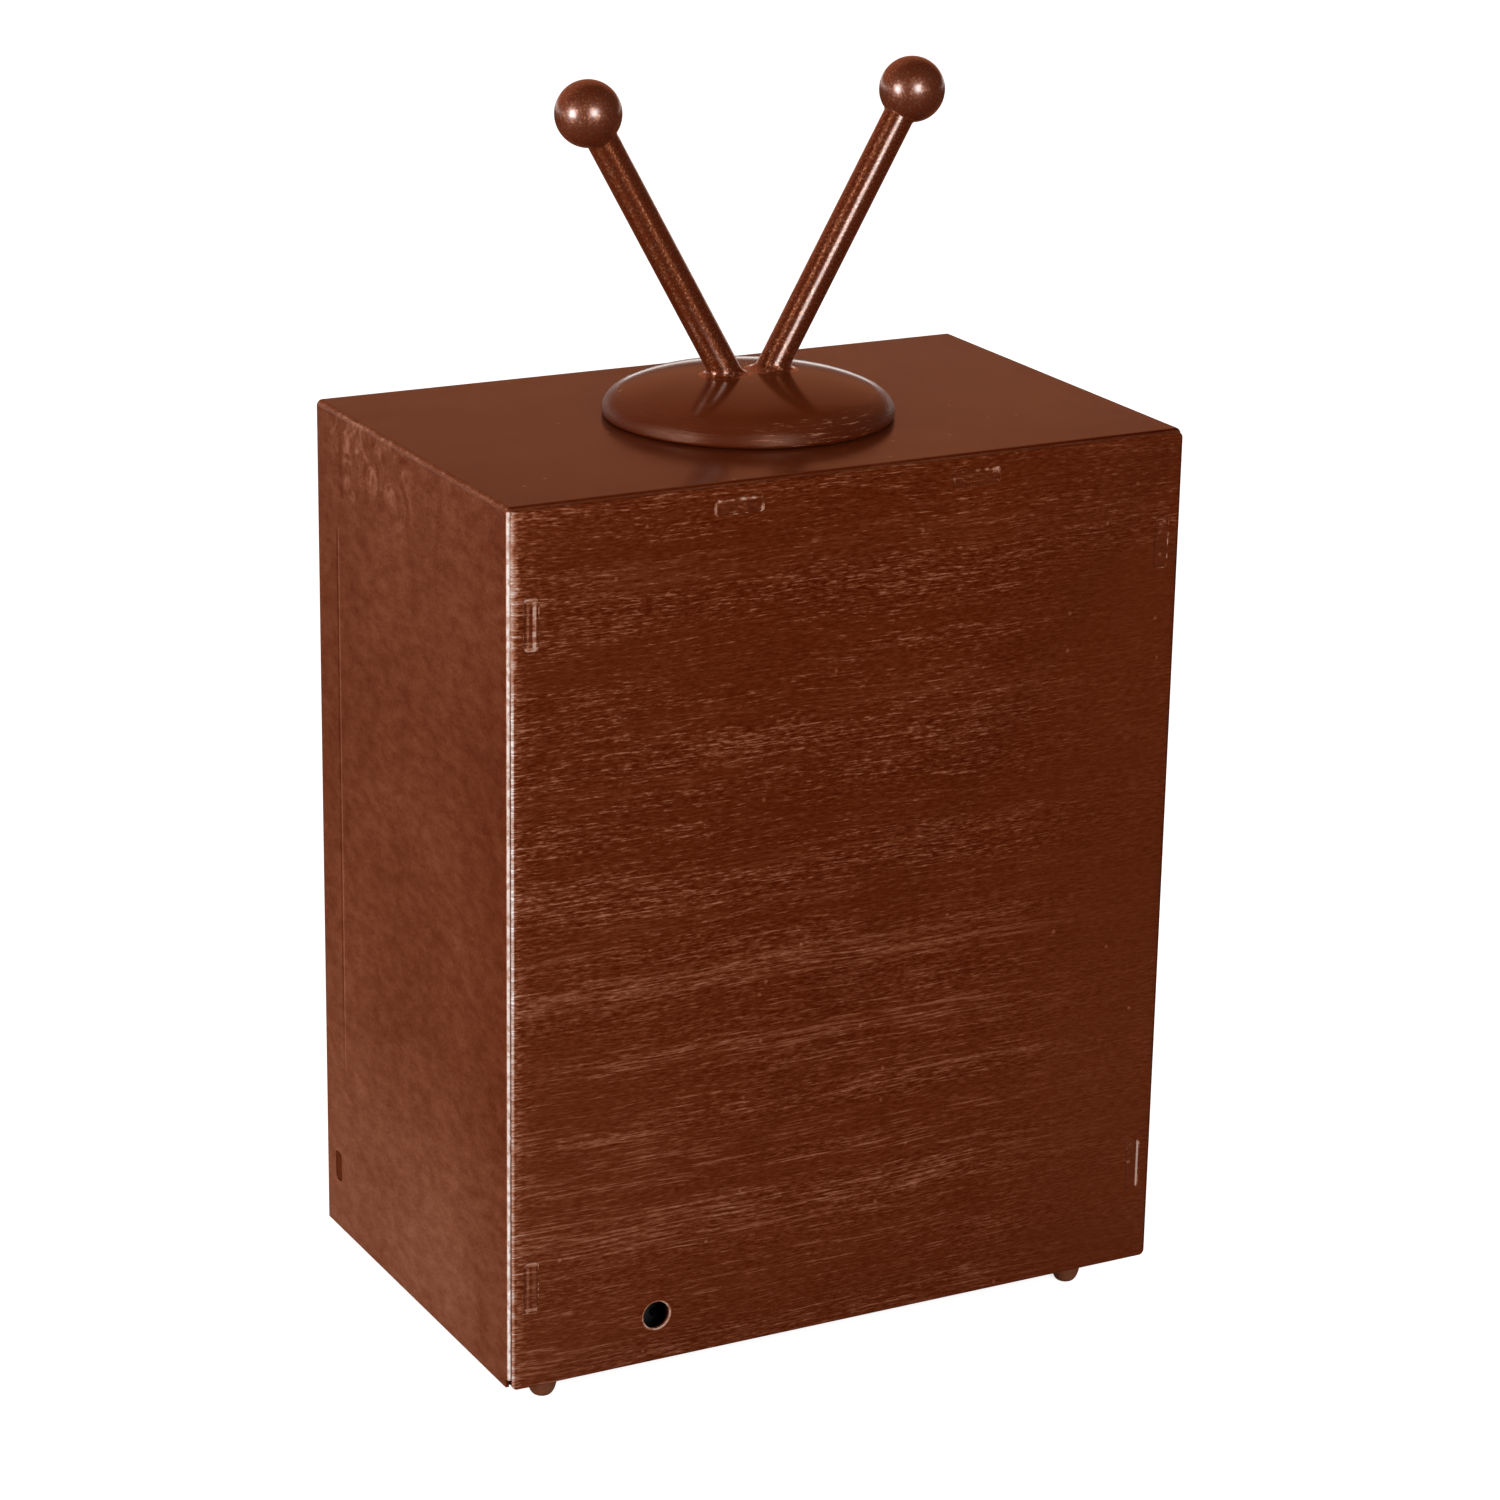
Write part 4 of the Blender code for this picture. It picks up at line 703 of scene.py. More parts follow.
# %% Paint of the top
# Painted light and shade: the starting level of 34 is set for how the top is lit.
coat = Paint("top_paint", 34.0, cloud=3.0, grain=2.5, speck=45.0, along=9.0, across=60.0)
bands = noise(coat.tree, scaled(coat.tree, coat.where, (7.0, 70.0, 1.0)), 1.0, 3.0)
coat.add(coat.near(bands, 0.3, 0.7, -4.0, 4.0))
coat.add(coat.near(noise(coat.tree, coat.where, 260.0, 4.0, 0.65), 0.3, 0.7, -4.0, 4.0))
# Darker towards the far side. Painted shade: darker along the rear fold, for the shaded gap beside the back.
coat.add(coat.near(coat.axes["X"], -0.11, -0.03, -6.0, 0.0))
coat.add(coat.near(coat.axes["Y"], FLANGE_FACE - 4.0 * MM, FLANGE_FACE - 0.8 * MM, 0.0, -10.0))
fold_wear_highlight_and_shade(coat, 60.0, 42.0)
top_paint = coat.finish(rough=0.20, relief=0.02)

# %% [markdown]
# Paint of the rods and balls
#
# The rods and balls glitter a little: flecks of bronze powder stand in their paint under a warm
# lacquer. The flecks could be tiny pieces of mesh, but they are finer than a picture can show. A
# fine noise makes the paint paler and metallic in spots instead. The rods were sanded around before
# they were painted, so a tangent that runs around them draws their shine out.

# %% Paint of the rods and balls
AERIAL_TINT, LACQUER_TINT = (1.08, 0.54, 0.33), (1.0, 0.74, 0.5)
ROD_SHINE, ROD_TURN = 0.8, 0.25


def aerial_coat(name, level, glitter, coat_rough, coat_ior):
    """Dark paint with flecks, in the frame of a piece whose Z runs along its rod."""
    coat = Paint(name, level, cloud=4.0, grain=3.0, speck=0.0, along=900.0, across=900.0)
    flecks = noise(coat.tree, coat.where, 1150.0, 2.0, 0.7)
    coat.add(coat.near(flecks, 0.46, 0.68), 88.0 * glitter)
    coat.add(coat.near(flecks, 0.30, 0.46, -14.0 * glitter, 0.0))
    set_inputs(coat.tree, coat.shader, Metallic=coat.near(flecks, 0.44, 0.58, 0.0, 0.9))
    set_inputs(coat.tree, coat.shader, Coat_Weight=0.9, Coat_Roughness=coat_rough, Coat_IOR=coat_ior)
    set_inputs(coat.tree, coat.shader, Coat_Tint=LACQUER_TINT)
    return coat, flecks


coat, flecks = aerial_coat("ball_paint", 37.0, 1.15, 0.27, 1.9)
ball_paint = coat.finish(rough=0.43, ior=1.62, relief=0.3, relief_from=flecks, tint=AERIAL_TINT)

coat, flecks = aerial_coat("rod_paint", 33.0, 1.2, 0.2, 1.55)
foot = coat.near(coat.axes["Z"], 20 * MM, 34 * MM, 1.0, 0.0)
scuffs = noise(coat.tree, coat.where, 600.0, 4.0, 0.7)
coat.add(coat.times(foot, coat.near(scuffs, 0.54, 0.66)), 90.0)
around = put(coat.tree, "ShaderNodeTangent", direction_type="RADIAL", axis="Z").outputs[0]
set_inputs(coat.tree, coat.shader, Anisotropic=ROD_SHINE, Anisotropic_Rotation=ROD_TURN, Tangent=around)
rod_paint = coat.finish(rough=0.38, ior=1.62, relief=0.3, relief_from=flecks, tint=AERIAL_TINT)

# %% [markdown]
# Paint of the dome
#
# The dome was dipped, so it is smooth, and only its lip is dull and scratched. Scratches could be
# thin curves in the mesh. A noise that is stretched around the dome, by its angle and height, gives
# fine lines that run along the lip, and it can lift the relief as well as the level. The pale
# scratch marks are painted highlights, placed where the light behind glints on the lip, and the
# lip's round is darkened as painted shade.

# %% Paint of the dome
LIP = (40.5 * MM, 46.5 * MM)
coat = Paint("dome_paint", 33.0, cloud=4.0, grain=2.0, speck=60.0, along=500.0, across=500.0)
x, y, z = coat.axes["X"], coat.axes["Y"], coat.axes["Z"]
flat = scaled(coat.tree, coat.where, (1.0, 1.0, 0.0))
out = put(coat.tree, "ShaderNodeVectorMath", {0: flat}, operation="LENGTH").outputs["Value"]
# The zone of the lip where the light behind is mirrored.
scratch_highlight_zone = coat.times(coat.near(y, 0.020, 0.036), coat.stripe(x, -0.030, -0.014, 0.014, 0.028))
angle = math_node(coat.tree, "ARCTAN2", y, x)
unrolled = {"X": coat.times(angle, 5.5), "Y": coat.times(z, 1900.0)}
scratch_at = put(coat.tree, "ShaderNodeCombineXYZ", unrolled).outputs[0]
scratch_relief_and_highlights = coat.less(noise(coat.tree, scratch_at, 1.0, 4.0, 0.65), 0.5)
scratch_relief_and_highlights = coat.times(scratch_relief_and_highlights, coat.near(out, *LIP))
# Painted highlight: pale scratch marks where the light behind glints on the lip.
coat.add(coat.times(coat.near(scratch_relief_and_highlights, 0.06, 0.15), coat.near(scratch_highlight_zone, 0.0, 1.0, 0.06, 1.0)), 70.0)
# Painted shade: the lip's round is darker where it turns under.
coat.add(coat.near(out, 0.046, 0.0488), -9.0)
dome_gloss = {"rough": 0.14, "ior": 1.5, "dull": coat.near(out, *LIP, 0.0, 0.22)}
dome_paint = coat.finish(relief=0.5, relief_from=scratch_relief_and_highlights, depth=0.5 * MM, **dome_gloss)

# %% [markdown]
# Other painted pieces
#
# The front has the same brushed coat as the back, the base a plainer one, and the bare rims of slots
# and holes are rubbed, strongly in one place and faintly in the rest. The cord hole's bore is also
# set paler as painted light, for the light that hardly reaches into it. They could all take the
# back's paint, but its worn and highlighted edge belongs to one panel only. So the plain recipe is
# used with new values.

# %% Paint of the front, the base and the rims
front_paint = Paint("front_paint", 30.0, cloud=4.0, grain=5.0, dash=26.0).finish()
base_paint = Paint("base_paint", 30.0, cloud=5.0, grain=4.0, dash=10.0).finish(rough=0.4)
surround_coat = Paint("surround_paint", 26.0, cloud=4.0, grain=3.0, along=300.0, across=300.0)
surround_paint = surround_coat.finish(rough=0.2)


def rim_coat(name, level, amount, low, high):
    """Paint of a punched rim, pale at its mouth wherever the noise is between low and high."""
    coat = Paint(name, level, cloud=5.0, grain=5.0)
    mouth = coat.near(coat.axes["Y"], BACK - 0.45 * MM, BACK - 0.3 * MM)
    coat.add(coat.times(mouth, coat.near(coat.blotches(), low, high)), amount)
    return coat.finish(rough=0.34)


# Painted light: the bore of the cord hole starts at a paler level, 58, so that it reads brown though little
# light reaches into it.
bright_rim = rim_coat("bright_rim_paint", 58.0, 90.0, 0.30, 0.58)
faint_rim = rim_coat("faint_rim_paint", 30.0, 95.0, 0.50, 0.66)

# %% [markdown]
# The cabinet shell
#
# Both sides and the top are one sheet, folded twice, with a flange folded in behind the back panel.
# A box with bevelled edges would look alike from far away, but its inside and its flange would be
# missing. So a section of the sheet is carried up one side, over the top and down the other, and
# every fold becomes a true round.

# %% Build the shell
EASE = 0.25 * MM


def shell_course(inset, steps=8):
    """The sheet's way up one side, over the top and down the other, at a depth below its outside."""
    side = HALF_WIDTH - inset
    centre = (min(HALF_WIDTH - FOLD, side), min(TOP - FOLD, TOP - inset))
    right = arc(centre, max(FOLD - inset, 0), 0, 90, steps)
    left = [(-x, z) for x, z in reversed(right)]
    return [(side, BOTTOM), *right, *left, (-side, BOTTOM)]


turn = FLANGE_FACE - FOLD
outer_fold = [(FOLD - a, turn + b) for a, b in arc((0, 0), FOLD, 0, 90, 10)]
inner_fold = [(FOLD - a, turn + b) for a, b in arc((0, 0), FOLD - SHEET, 90, 0, 6)]
section = [(SHEET / 2, FRONT), (EASE, FRONT), (0, FRONT + EASE), *outer_fold]
section += [(FLANGE_WIDTH, FLANGE_FACE), (FLANGE_WIDTH, FLANGE_FACE - SHEET), *inner_fold]
section += [(SHEET, FRONT + EASE), (SHEET - EASE, FRONT)]
courses = [[(x, y, z) for x, z in shell_course(inset)] for inset, y in section]
sheet = loft([list(row) for row in zip(*courses)])
shell = add_piece("cabinet_shell", sheet, side_paint, replaces=["cabinet_wrapper"])
print("shell faces:", len(shell.data.polygons))

# %% [markdown]
# Slots in the shell
#
# Each side has a slot in which a lug of the front panel is welded, the rear folds have a small
# relief at their feet, and the top a hole for the aerial's stud. Each could be cut on its own. All
# cutters are merged and cut in one go, which is quicker. The top's faces first take the top's paint,
# and they are found by the way that they face.

# %% Paint the top and cut the slots
UPWARD = 0.75
shell.data.materials.append(top_paint)
for face in shell.data.polygons:
    if face.normal.z > UPWARD:
        face.material_index = 1

LUG_WIDTH, LUG_LENGTH, FRONT_LUG_LENGTH = 4.4 * MM, 17 * MM, 10 * MM
FRONT_LUG = (FRONT + 10.2 * MM, BOTTOM + 23.3 * MM)
SLOT_CORNER, STUD_HOLE = 1.3 * MM, 4.3 * MM
cutters = []
for sign in (1, -1):
    outline = rounded_rectangle(LUG_WIDTH + 2 * SEAT, FRONT_LUG_LENGTH + 2 * SEAT, SLOT_CORNER, 4)
    loops = []
    for depth, wide, tall in ((2 * SHEET, 1, 1), (0.2 * MM, 1, 1), (-0.3 * MM, 1.12, 1.06)):
        x = sign * (HALF_WIDTH - depth)
        loops.append([(x, FRONT_LUG[0] + a * wide, FRONT_LUG[1] + b * tall) for a, b in outline])
    cutters.append(loft(loops))
    corner = rounded_rectangle(2 * FOLD, 2 * FOLD, 0.4 * MM, 2)
    levels = (BOTTOM - SHEET, BOTTOM + 3 * MM)
    cutters.append(loft([[(sign * HALF_WIDTH + a, FLANGE_FACE + b, z) for a, b in corner] for z in levels]))
ring = arc((0, 0), STUD_HOLE, 0, 360, 32)[:-1]
cutters.append(loft([[(x, y, z) for x, y in ring] for z in (TOP - 2 * SHEET, TOP + SHEET)]))
cut(shell, merge(cutters), faint_rim)
print("shell materials:", [m.name for m in shell.data.materials])

# %% [markdown]
# The back panel
#
# The back is a flat sheet with softened edges and corners. A cube with a bevel would do, but a loft
# of one outline at several depths gives each edge its exact round, and the corner's radius shrinks
# with it.

# %% Build the back panel
panel_width, panel_height = panel_high.x - panel_low.x, panel_high.z - panel_low.z
panel_middle = (panel_low.z + panel_high.z) / 2
PANEL_CORNER, ROUND = 2.0 * MM, 0.5 * MM
layers = [(0.0, panel_low.y)]
for a in (math.pi / 2, 1.1, 0.6, 0.0):
    layers.append((ROUND - ROUND * math.sin(a), BACK - ROUND + ROUND * math.cos(a)))
loops = []
for inset, y in layers:
    outline = rounded_rectangle(panel_width - 2 * inset, panel_height - 2 * inset, PANEL_CORNER - inset)
    loops.append([(x, y, z + panel_middle) for x, z in outline])
back = add_piece("back_sheet", loft(loops), back_paint, replaces=["back_panel"])
print("back panel in mm:", round(panel_width * 1000, 1), "x", round(panel_height * 1000, 1))

# %% [markdown]
# Slots and cord hole
#
# Six slots show the flange's welded lugs, and one round hole lets the cord out. Straight cutters
# would leave edges as sharp as a knife. Each cutter widens at its mouth instead, and leaves a narrow
# chamfer that catches the light as a punched edge does.

# %% Cut the back panel
LUG_INSET, LUG_LOW, LUG_DROP, LUG_SPREAD = 7.6 * MM, 36 * MM, 38 * MM, 43.5 * MM
SLOT_FLARE, HOLE_FLARE = 0.2 * MM, 0.3 * MM
lugs = []
for sign in (1, -1):
    lugs.append((sign * (HALF_WIDTH - LUG_INSET), BOTTOM + LUG_LOW, LUG_WIDTH, LUG_LENGTH))
    lugs.append((sign * (HALF_WIDTH - LUG_INSET), TOP - LUG_DROP, LUG_WIDTH, LUG_LENGTH))
    lugs.append((sign * LUG_SPREAD, TOP - LUG_INSET, LUG_LENGTH, LUG_WIDTH))


def depths(flare):
    """How far a cutter through the panel is widened at each depth."""
    return ((panel_low.y - SHEET, 0), (BACK - flare, 0), (BACK, flare), (BACK + SHEET, flare))


cutters = []
for x, z, across, up in lugs:
    outline = rounded_rectangle(across + 2 * SEAT, up + 2 * SEAT, SLOT_CORNER, 4)
    loops = []
    for y, grow in depths(SLOT_FLARE):
        wider = [(a + math.copysign(grow, a), b + math.copysign(grow, b)) for a, b in outline]
        loops.append([(a + x, y, b + z) for a, b in wider])
    cutters.append(loft(loops))
loops = []
for y, grow in depths(HOLE_FLARE):
    ring = arc((HOLE.x, HOLE.z), HOLE_RADIUS + grow, 0, 360, 48)[:-1]
    loops.append([(x, y, z) for x, z in ring])
cut(back, merge(cutters), faint_rim)
cut(back, loft(loops), bright_rim)
print("back faces:", len(back.data.polygons), "materials:", [m.name for m in back.data.materials])

# %% [markdown]
# Paint of the lugs
#
# The ends of the lugs stand almost level with the panel and share its coat, but cloths catch them,
# so their edges are worn to pale lines. The line along the far edge of the low far lug is a painted
# highlight instead, for the lit slot wall beside it. The marks could be drawn once on all six. On
# the lamp they differ, so the two near lugs have their own amounts, and the rest share a third paint.

# %% Paint of the lugs
coat = back_coat("lug_paint")
x, z = coat.axes["X"], coat.axes["Z"]
blotch = coat.blotches()
coat.add(coat.near(blotch, 0.60, 0.68), 40.0)
from_end = coat.size(coat.less(coat.size(x), LUG_SPREAD))
ticks = coat.near(from_end, LUG_LENGTH / 2 - 0.9 * MM, LUG_LENGTH / 2 - 0.4 * MM)
ticks = coat.times(ticks, coat.near(z, TOP - 12 * MM, TOP - 11 * MM))
lug_top = TOP - LUG_INSET + LUG_WIDTH / 2
ticks = coat.most(ticks, coat.near(z, lug_top - 0.8 * MM, lug_top - 0.3 * MM))
coat.add(coat.times(ticks, coat.near(blotch, 0.42, 0.60)), 66.0)
# Painted highlight: a pale line along the far edge of the low far lug, for the lit slot wall beside it.
far_side = LUG_INSET - HALF_WIDTH - LUG_WIDTH / 2
line = coat.near(x, far_side + 0.5 * MM, far_side + 0.8 * MM, 1.0, 0.0)
coat.add(coat.times(line, coat.near(z, 0.06, 0.07, 1.0, 0.0)), 105.0)
lug_paint = coat.finish()


def worn_lug(name, middle, amount, near_share, far_share):
    """Lug paint worn to pale lines at both ends and along its near and far sides."""
    coat = back_coat(name)
    from_end = coat.size(coat.less(coat.axes["Z"], middle))
    from_side = coat.less(HALF_WIDTH - LUG_INSET + LUG_WIDTH / 2, coat.axes["X"])
    ends = coat.near(from_end, LUG_LENGTH / 2 - 1.5 * MM, LUG_LENGTH / 2 - 0.6 * MM)
    far_line = coat.stripe(from_side, 2.4 * MM, 2.9 * MM, 3.6 * MM, 4.2 * MM, far_share)
    near_line = coat.stripe(from_side, 0.4 * MM, 0.9 * MM, 1.2 * MM, 1.7 * MM, near_share)
    marks = coat.most(coat.most(near_line, far_line), ends)
    coat.add(coat.times(marks, coat.near(coat.blotches(), 0.36, 0.58, 0.35, 1.0)), amount)
    return coat.finish()


lug_paints = {
    1: worn_lug("low_lug_paint", BOTTOM + LUG_LOW, 58.0, 0.6, 0.3),
    2: worn_lug("worn_lug_paint", TOP - LUG_DROP, 105.0, 0.45, 1.0),
}

# %% [markdown]
# Lugs
#
# A lug is a tongue of the flange that was pushed through its slot and welded. It could be joined to
# the shell's mesh, but as a piece of its own it can take its own paint. It ends just below the
# panel's face, so that a fine outline of shadow shows around it.

# %% Weld the lugs into their slots
WELD, LUG_CORNER = 0.28 * MM, 1.0 * MM
LUG_FACE = BACK - 0.15 * MM
for number, (x, z, across, up) in enumerate(lugs, 1):
    loops = []
    for inset, y in ((-WELD, FLANGE_FACE), (-WELD, LUG_FACE - 0.2 * MM), (0.1 * MM - WELD, LUG_FACE)):
        outline = rounded_rectangle(across - 2 * inset, up - 2 * inset, LUG_CORNER - inset, 4)
        loops.append([(a + x, y, b + z) for a, b in outline])
    lug = add_piece(f"weld_lug_{number}", loft(loops), lug_paints.get(number, lug_paint))
print("lugs:", len(lugs))

# %% [markdown]
# The aerial
#
# The dome is a spun metal cap, flat on top and steep at its rim, with a lip that turns under and
# leaves a thin shadow. A squashed sphere would be too pointed at the rim. So its profile follows a
# fuller law than a circle, and is turned about the upright axis.

# %% Turn the dome
DOME_RADIUS = dome_high.x
DOME_LIP, DOME_WALL, DOME_POWER = 1.4 * MM, 1.5 * MM, 2.25
DOME_RIM = dome_low.z + DOME_LIP
DOME_CROWN = dome_high.z - DOME_RIM


def dome_face(radius, crown, steps=40):
    """The dome's profile from its crown to its rim."""
    points = []
    for i in range(steps + 1):
        angle = math.pi / 2 * (1 - i / steps)
        across, up = (max(part, 0) ** (2 / DOME_POWER) for part in (math.cos(angle), math.sin(angle)))
        points.append((radius * across, DOME_RIM + crown * up))
    return points


lip = [(DOME_RADIUS - DOME_LIP + a, DOME_RIM + b) for a, b in arc((0, 0), DOME_LIP, 0, -90, 8)]
under = dome_face(DOME_RADIUS - DOME_WALL, DOME_CROWN - DOME_WALL, 12)
profile = [*dome_face(DOME_RADIUS, DOME_CROWN), *lip[1:], (DOME_RADIUS - DOME_WALL, dome_low.z)]
profile += reversed(under)
dome = add_piece("aerial_cap", turned(profile, 128), dome_paint, replaces=["aerial_dome"], smooth=50)
print("dome radius and crown in mm:", round(DOME_RADIUS * 1000, 1), round(DOME_CROWN * 1000, 1))

# %% [markdown]
# Weld of a rod
#
# Each rod leans out from one point under the dome, and where it meets the dome its weld was dressed
# to a small hollow fillet. A boolean and a bevel could join them, but bevels on such a slanted seam
# often break. So for each line along the rod the script finds where it meets the dome's face, and
# bends it out to the dome along a short curve.

# %% Shape a rod with its fillet
ROD_RADIUS, ROD_LEAN, ROD_FILLET = 5.25 * MM, math.radians(29.6), 3.2 * MM
ROD_SIDES, FILLET_STEPS = 64, 10
APEX = Vector((0, 0, TOP))
ROD_REACH = ((ball_low + ball_high) / 2 - APEX).length


def dome_top(point):
    """The height of the dome's face above or below a point."""
    share = min(math.hypot(point.x, point.y) / DOME_RADIUS, 1)
    return DOME_RIM + DOME_CROWN * (1 - share**DOME_POWER) ** (1 / DOME_POWER)


def meet_dome(start, along):
    """Where a line leaves the dome, found by halving."""
    low, high = 0.0, ROD_REACH
    for _ in range(40):
        middle = (low + high) / 2
        point = start + along * middle
        low, high = (low, middle) if point.z > dome_top(point) else (middle, high)
    return start + along * low


def rod_mesh(sign, lean, along):
    """A rod from the toe of its weld to the middle of its ball."""
    rows = [[] for _ in range(FILLET_STEPS + 2)]
    for i in range(ROD_SIDES):
        angle = 2 * math.pi * i / ROD_SIDES
        out = lean @ Vector((math.cos(angle), math.sin(angle), 0))
        corner = meet_dome(APEX + out * ROD_RADIUS, along)
        toe = meet_dome(APEX + out * (ROD_RADIUS + ROD_FILLET), along)
        fillet = ROD_FILLET
        if sign * toe.x < SEAT:
            fillet *= (corner.x - sign * SEAT) / (corner.x - toe.x)
            toe = meet_dome(APEX + out * (ROD_RADIUS + fillet), along)
        shank = corner + along * fillet
        for step in range(FILLET_STEPS + 1):
            share = step / FILLET_STEPS
            rows[step].append(toe.lerp(corner, share).lerp(corner.lerp(shank, share), share))
        rows[-1].append(APEX + out * ROD_RADIUS + along * ROD_REACH)
    return loft(rows)


print("rod reach in mm:", round(ROD_REACH * 1000, 1))

# %% [markdown]
# Rods and balls
#
# A ball with a narrow collar closes each rod. A sphere could simply be pushed onto the rod's end.
# The turned profile stops at the collar instead, so that the joint shows its small step. Rod and
# ball keep their own axes along the rod, because the rod's scuffed foot and its shine follow them.

# %% Build the rods and balls
BALL_RADIUS = (ball_high.x - ball_low.x) / 2
NECK = ROD_RADIUS + 0.9 * MM
ball_outline = arc((0, 0), BALL_RADIUS, 90, -math.degrees(math.acos(NECK / BALL_RADIUS)), 40)
throat = ball_outline[-1][1]
collar = throat - 0.9 * MM
ball_outline += [(ROD_RADIUS + 0.35 * MM, throat - 0.25 * MM), (ROD_RADIUS + 0.05 * MM, collar), (0, collar)]
for side, sign in (("right", 1), ("left", -1)):
    lean = Matrix.Rotation(sign * ROD_LEAN, 3, "Y")
    along = lean @ Vector((0, 0, 1))
    place = Matrix.Translation(APEX) @ lean.to_4x4()
    built = rod_mesh(sign, lean, along)
    built.transform(place.inverted())
    stands_for = [f"aerial_rod_{side}"]
    rod = add_piece(f"aerial_stem_{side}", built, rod_paint, replaces=stands_for, place=place, smooth=60)
    place = Matrix.Translation(APEX + along * ROD_REACH) @ lean.to_4x4()
    built, stands_for = turned(ball_outline), [f"aerial_ball_{side}"]
    ball = add_piece(f"aerial_knob_{side}", built, ball_paint, replaces=stands_for, place=place, smooth=60)
print("ball radius in mm:", round(BALL_RADIUS * 1000, 1))

# %% [markdown]
# Feet
#
# Four soft bumpers are stuck under the base. They are amber brown and a little cloudy, so light
# passes a short way into them. Glass would be too clear and plain plastic too dead, so the material
# has some subsurface light. It comes from a function for all moulded things, because the screen and
# the fittings inside differ from it only in their numbers.

# %% Feet and their rubber
def moulding(name, first, second, rough, scale, relief=0.12, depth=0.2 * MM, **more):
    """A moulded material, clouded between two colours, with a faint relief."""
    material, tree, shader = new_material(name)
    where = put(tree, "ShaderNodeTexCoord").outputs["Object"]
    tone = use_group(tree, cloud_group, {"Vector": where, "Scale": scale})["Tone"]
    bump = put(tree, "ShaderNodeBump", {"Height": tone, "Strength": relief, "Distance": depth})
    colour = mix_colour(tree, ramp(tree, tone, 0.3, 0.7), first, second)
    set_inputs(tree, shader, Base_Color=colour, Roughness=rough, Normal=bump.outputs["Normal"], **more)
    return material


soft = {"Subsurface_Weight": 0.4, "Subsurface_Scale": 0.003}
ambers = ((0.12, 0.034, 0.012), (0.19, 0.062, 0.025))
rubber = moulding("amber_rubber", *ambers, 0.45, 60.0, relief=0.1, depth=0.3 * MM, **soft)
FOOT_FLAT = 2.2 * MM
for name in [n for n in frame["nodes"] if n.startswith("foot_")]:
    low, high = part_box(name)
    radius, tall = (high.x - low.x) / 2, high.z - low.z
    flank = [(FOOT_FLAT + (radius - FOOT_FLAT) * c, tall * (1 - s)) for c, s in arc((0, 0), 1, 0, 90, 16)]
    place = Matrix.Translation(((low.x + high.x) / 2, (low.y + high.y) / 2, low.z))
    built = turned([(0, tall), *flank, (0, 0)], 48)
    foot = add_piece("bumper_" + name, built, rubber, replaces=[name], place=place)

# %% [markdown]
# The front
#
# The front is out of sight in this picture, but the lamp is looked at from all sides. A moulded
# surround frames the screen. A curve with a bevel profile could follow the outline, but its round
# corners would pinch. A closed loft of the outline, grown and shrunk along a rounded profile, keeps
# an even width, and its four studs are joined on behind.

# %% Screen surround
bezel_low, bezel_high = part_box("screen_bezel")
SURROUND, SCREEN_CORNER = 11 * MM, 30 * MM
SCREEN_HEIGHT = (bezel_low.z + bezel_high.z) / 2
PANEL_FACE = FRONT + 17.5 * MM
screen_width = bezel_high.x - bezel_low.x - 2 * SURROUND
screen_height = bezel_high.z - bezel_low.z - 2 * SURROUND


def screen_loop(grow, y, share=1.0):
    """The screen's outline, grown by a margin and shrunk to a share of its size."""
    outline = rounded_rectangle(screen_width + 2 * grow, screen_height + 2 * grow, SCREEN_CORNER + grow, 12)
    return [(x * share, y, z * share + SCREEN_HEIGHT) for x, z in outline]


SURROUND_ROUND, SURROUND_GAP, STUD_RADIUS = 1.8 * MM, 0.5 * MM, 1.5 * MM
seat, crest = PANEL_FACE - SEAT, bezel_low.y + SURROUND_ROUND
outer = [(SURROUND - SURROUND_ROUND + a, crest - b) for a, b in arc((0, 0), SURROUND_ROUND, 0, 90, 8)]
inner = [(SURROUND_GAP + SURROUND_ROUND - a, crest - b) for a, b in arc((0, 0), SURROUND_ROUND, 90, 0, 8)]
profile = [(SURROUND, seat), *outer, *inner, (SURROUND_GAP, seat)]
frame_mesh = loft([screen_loop(grow, y) for grow, y in profile], closed=True)
surround = add_piece("screen_surround", frame_mesh, surround_paint, replaces=["screen_bezel"])
studs = []
for name in [n for n in frame["nodes"] if n.startswith("retainer_nut_")]:
    low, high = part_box(name)
    middle = (low + high) / 2
    ring = arc((middle.x, middle.z), STUD_RADIUS, 0, 360, 24)[:-1]
    studs.append(loft([[(x, y, z) for x, z in ring] for y in (seat - SHEET, bezel_high.y)]))
cut(surround, merge(studs), surround_paint, "UNION")
print("screen in mm:", round(screen_width * 1000), "x", round(screen_height * 1000))

# %% [markdown]
# Screen pane
#
# The pane is a bowed sheet of opal plastic with a flat flange, held behind the panel. A flat plate
# would do for a picture, but the bow is what makes it look like a screen. Loops of the outline,
# shrunk towards the middle and set forward along a parabola, give both of its faces and its edge.

# %% Screen pane
pane_low, pane_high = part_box("screen_pane")
glow = {"Subsurface_Weight": 0.3, "Subsurface_Scale": 0.004}
opals = ((0.80, 0.73, 0.60), (0.88, 0.83, 0.72))
opal = moulding("opal_acrylic", *opals, 0.22, 9.0, relief=0.05, depth=0.4 * MM, **glow)
GAP, THICK, PANE_FLANGE = 0.6 * MM, 2.5 * MM, 3 * MM
spring = PANEL_FACE + GAP
bulge = spring - pane_low.y
lip_front, lip_back = pane_high.y - THICK, pane_high.y
shares = [i / 16 for i in range(1, 16)]
loops = [screen_loop(-GAP, spring - bulge * (1 - s * s), s) for s in shares]
loops += [screen_loop(-GAP, spring), screen_loop(-GAP, lip_front), screen_loop(PANE_FLANGE, lip_front)]
loops += [screen_loop(PANE_FLANGE, lip_back), screen_loop(-GAP - THICK, lip_back)]
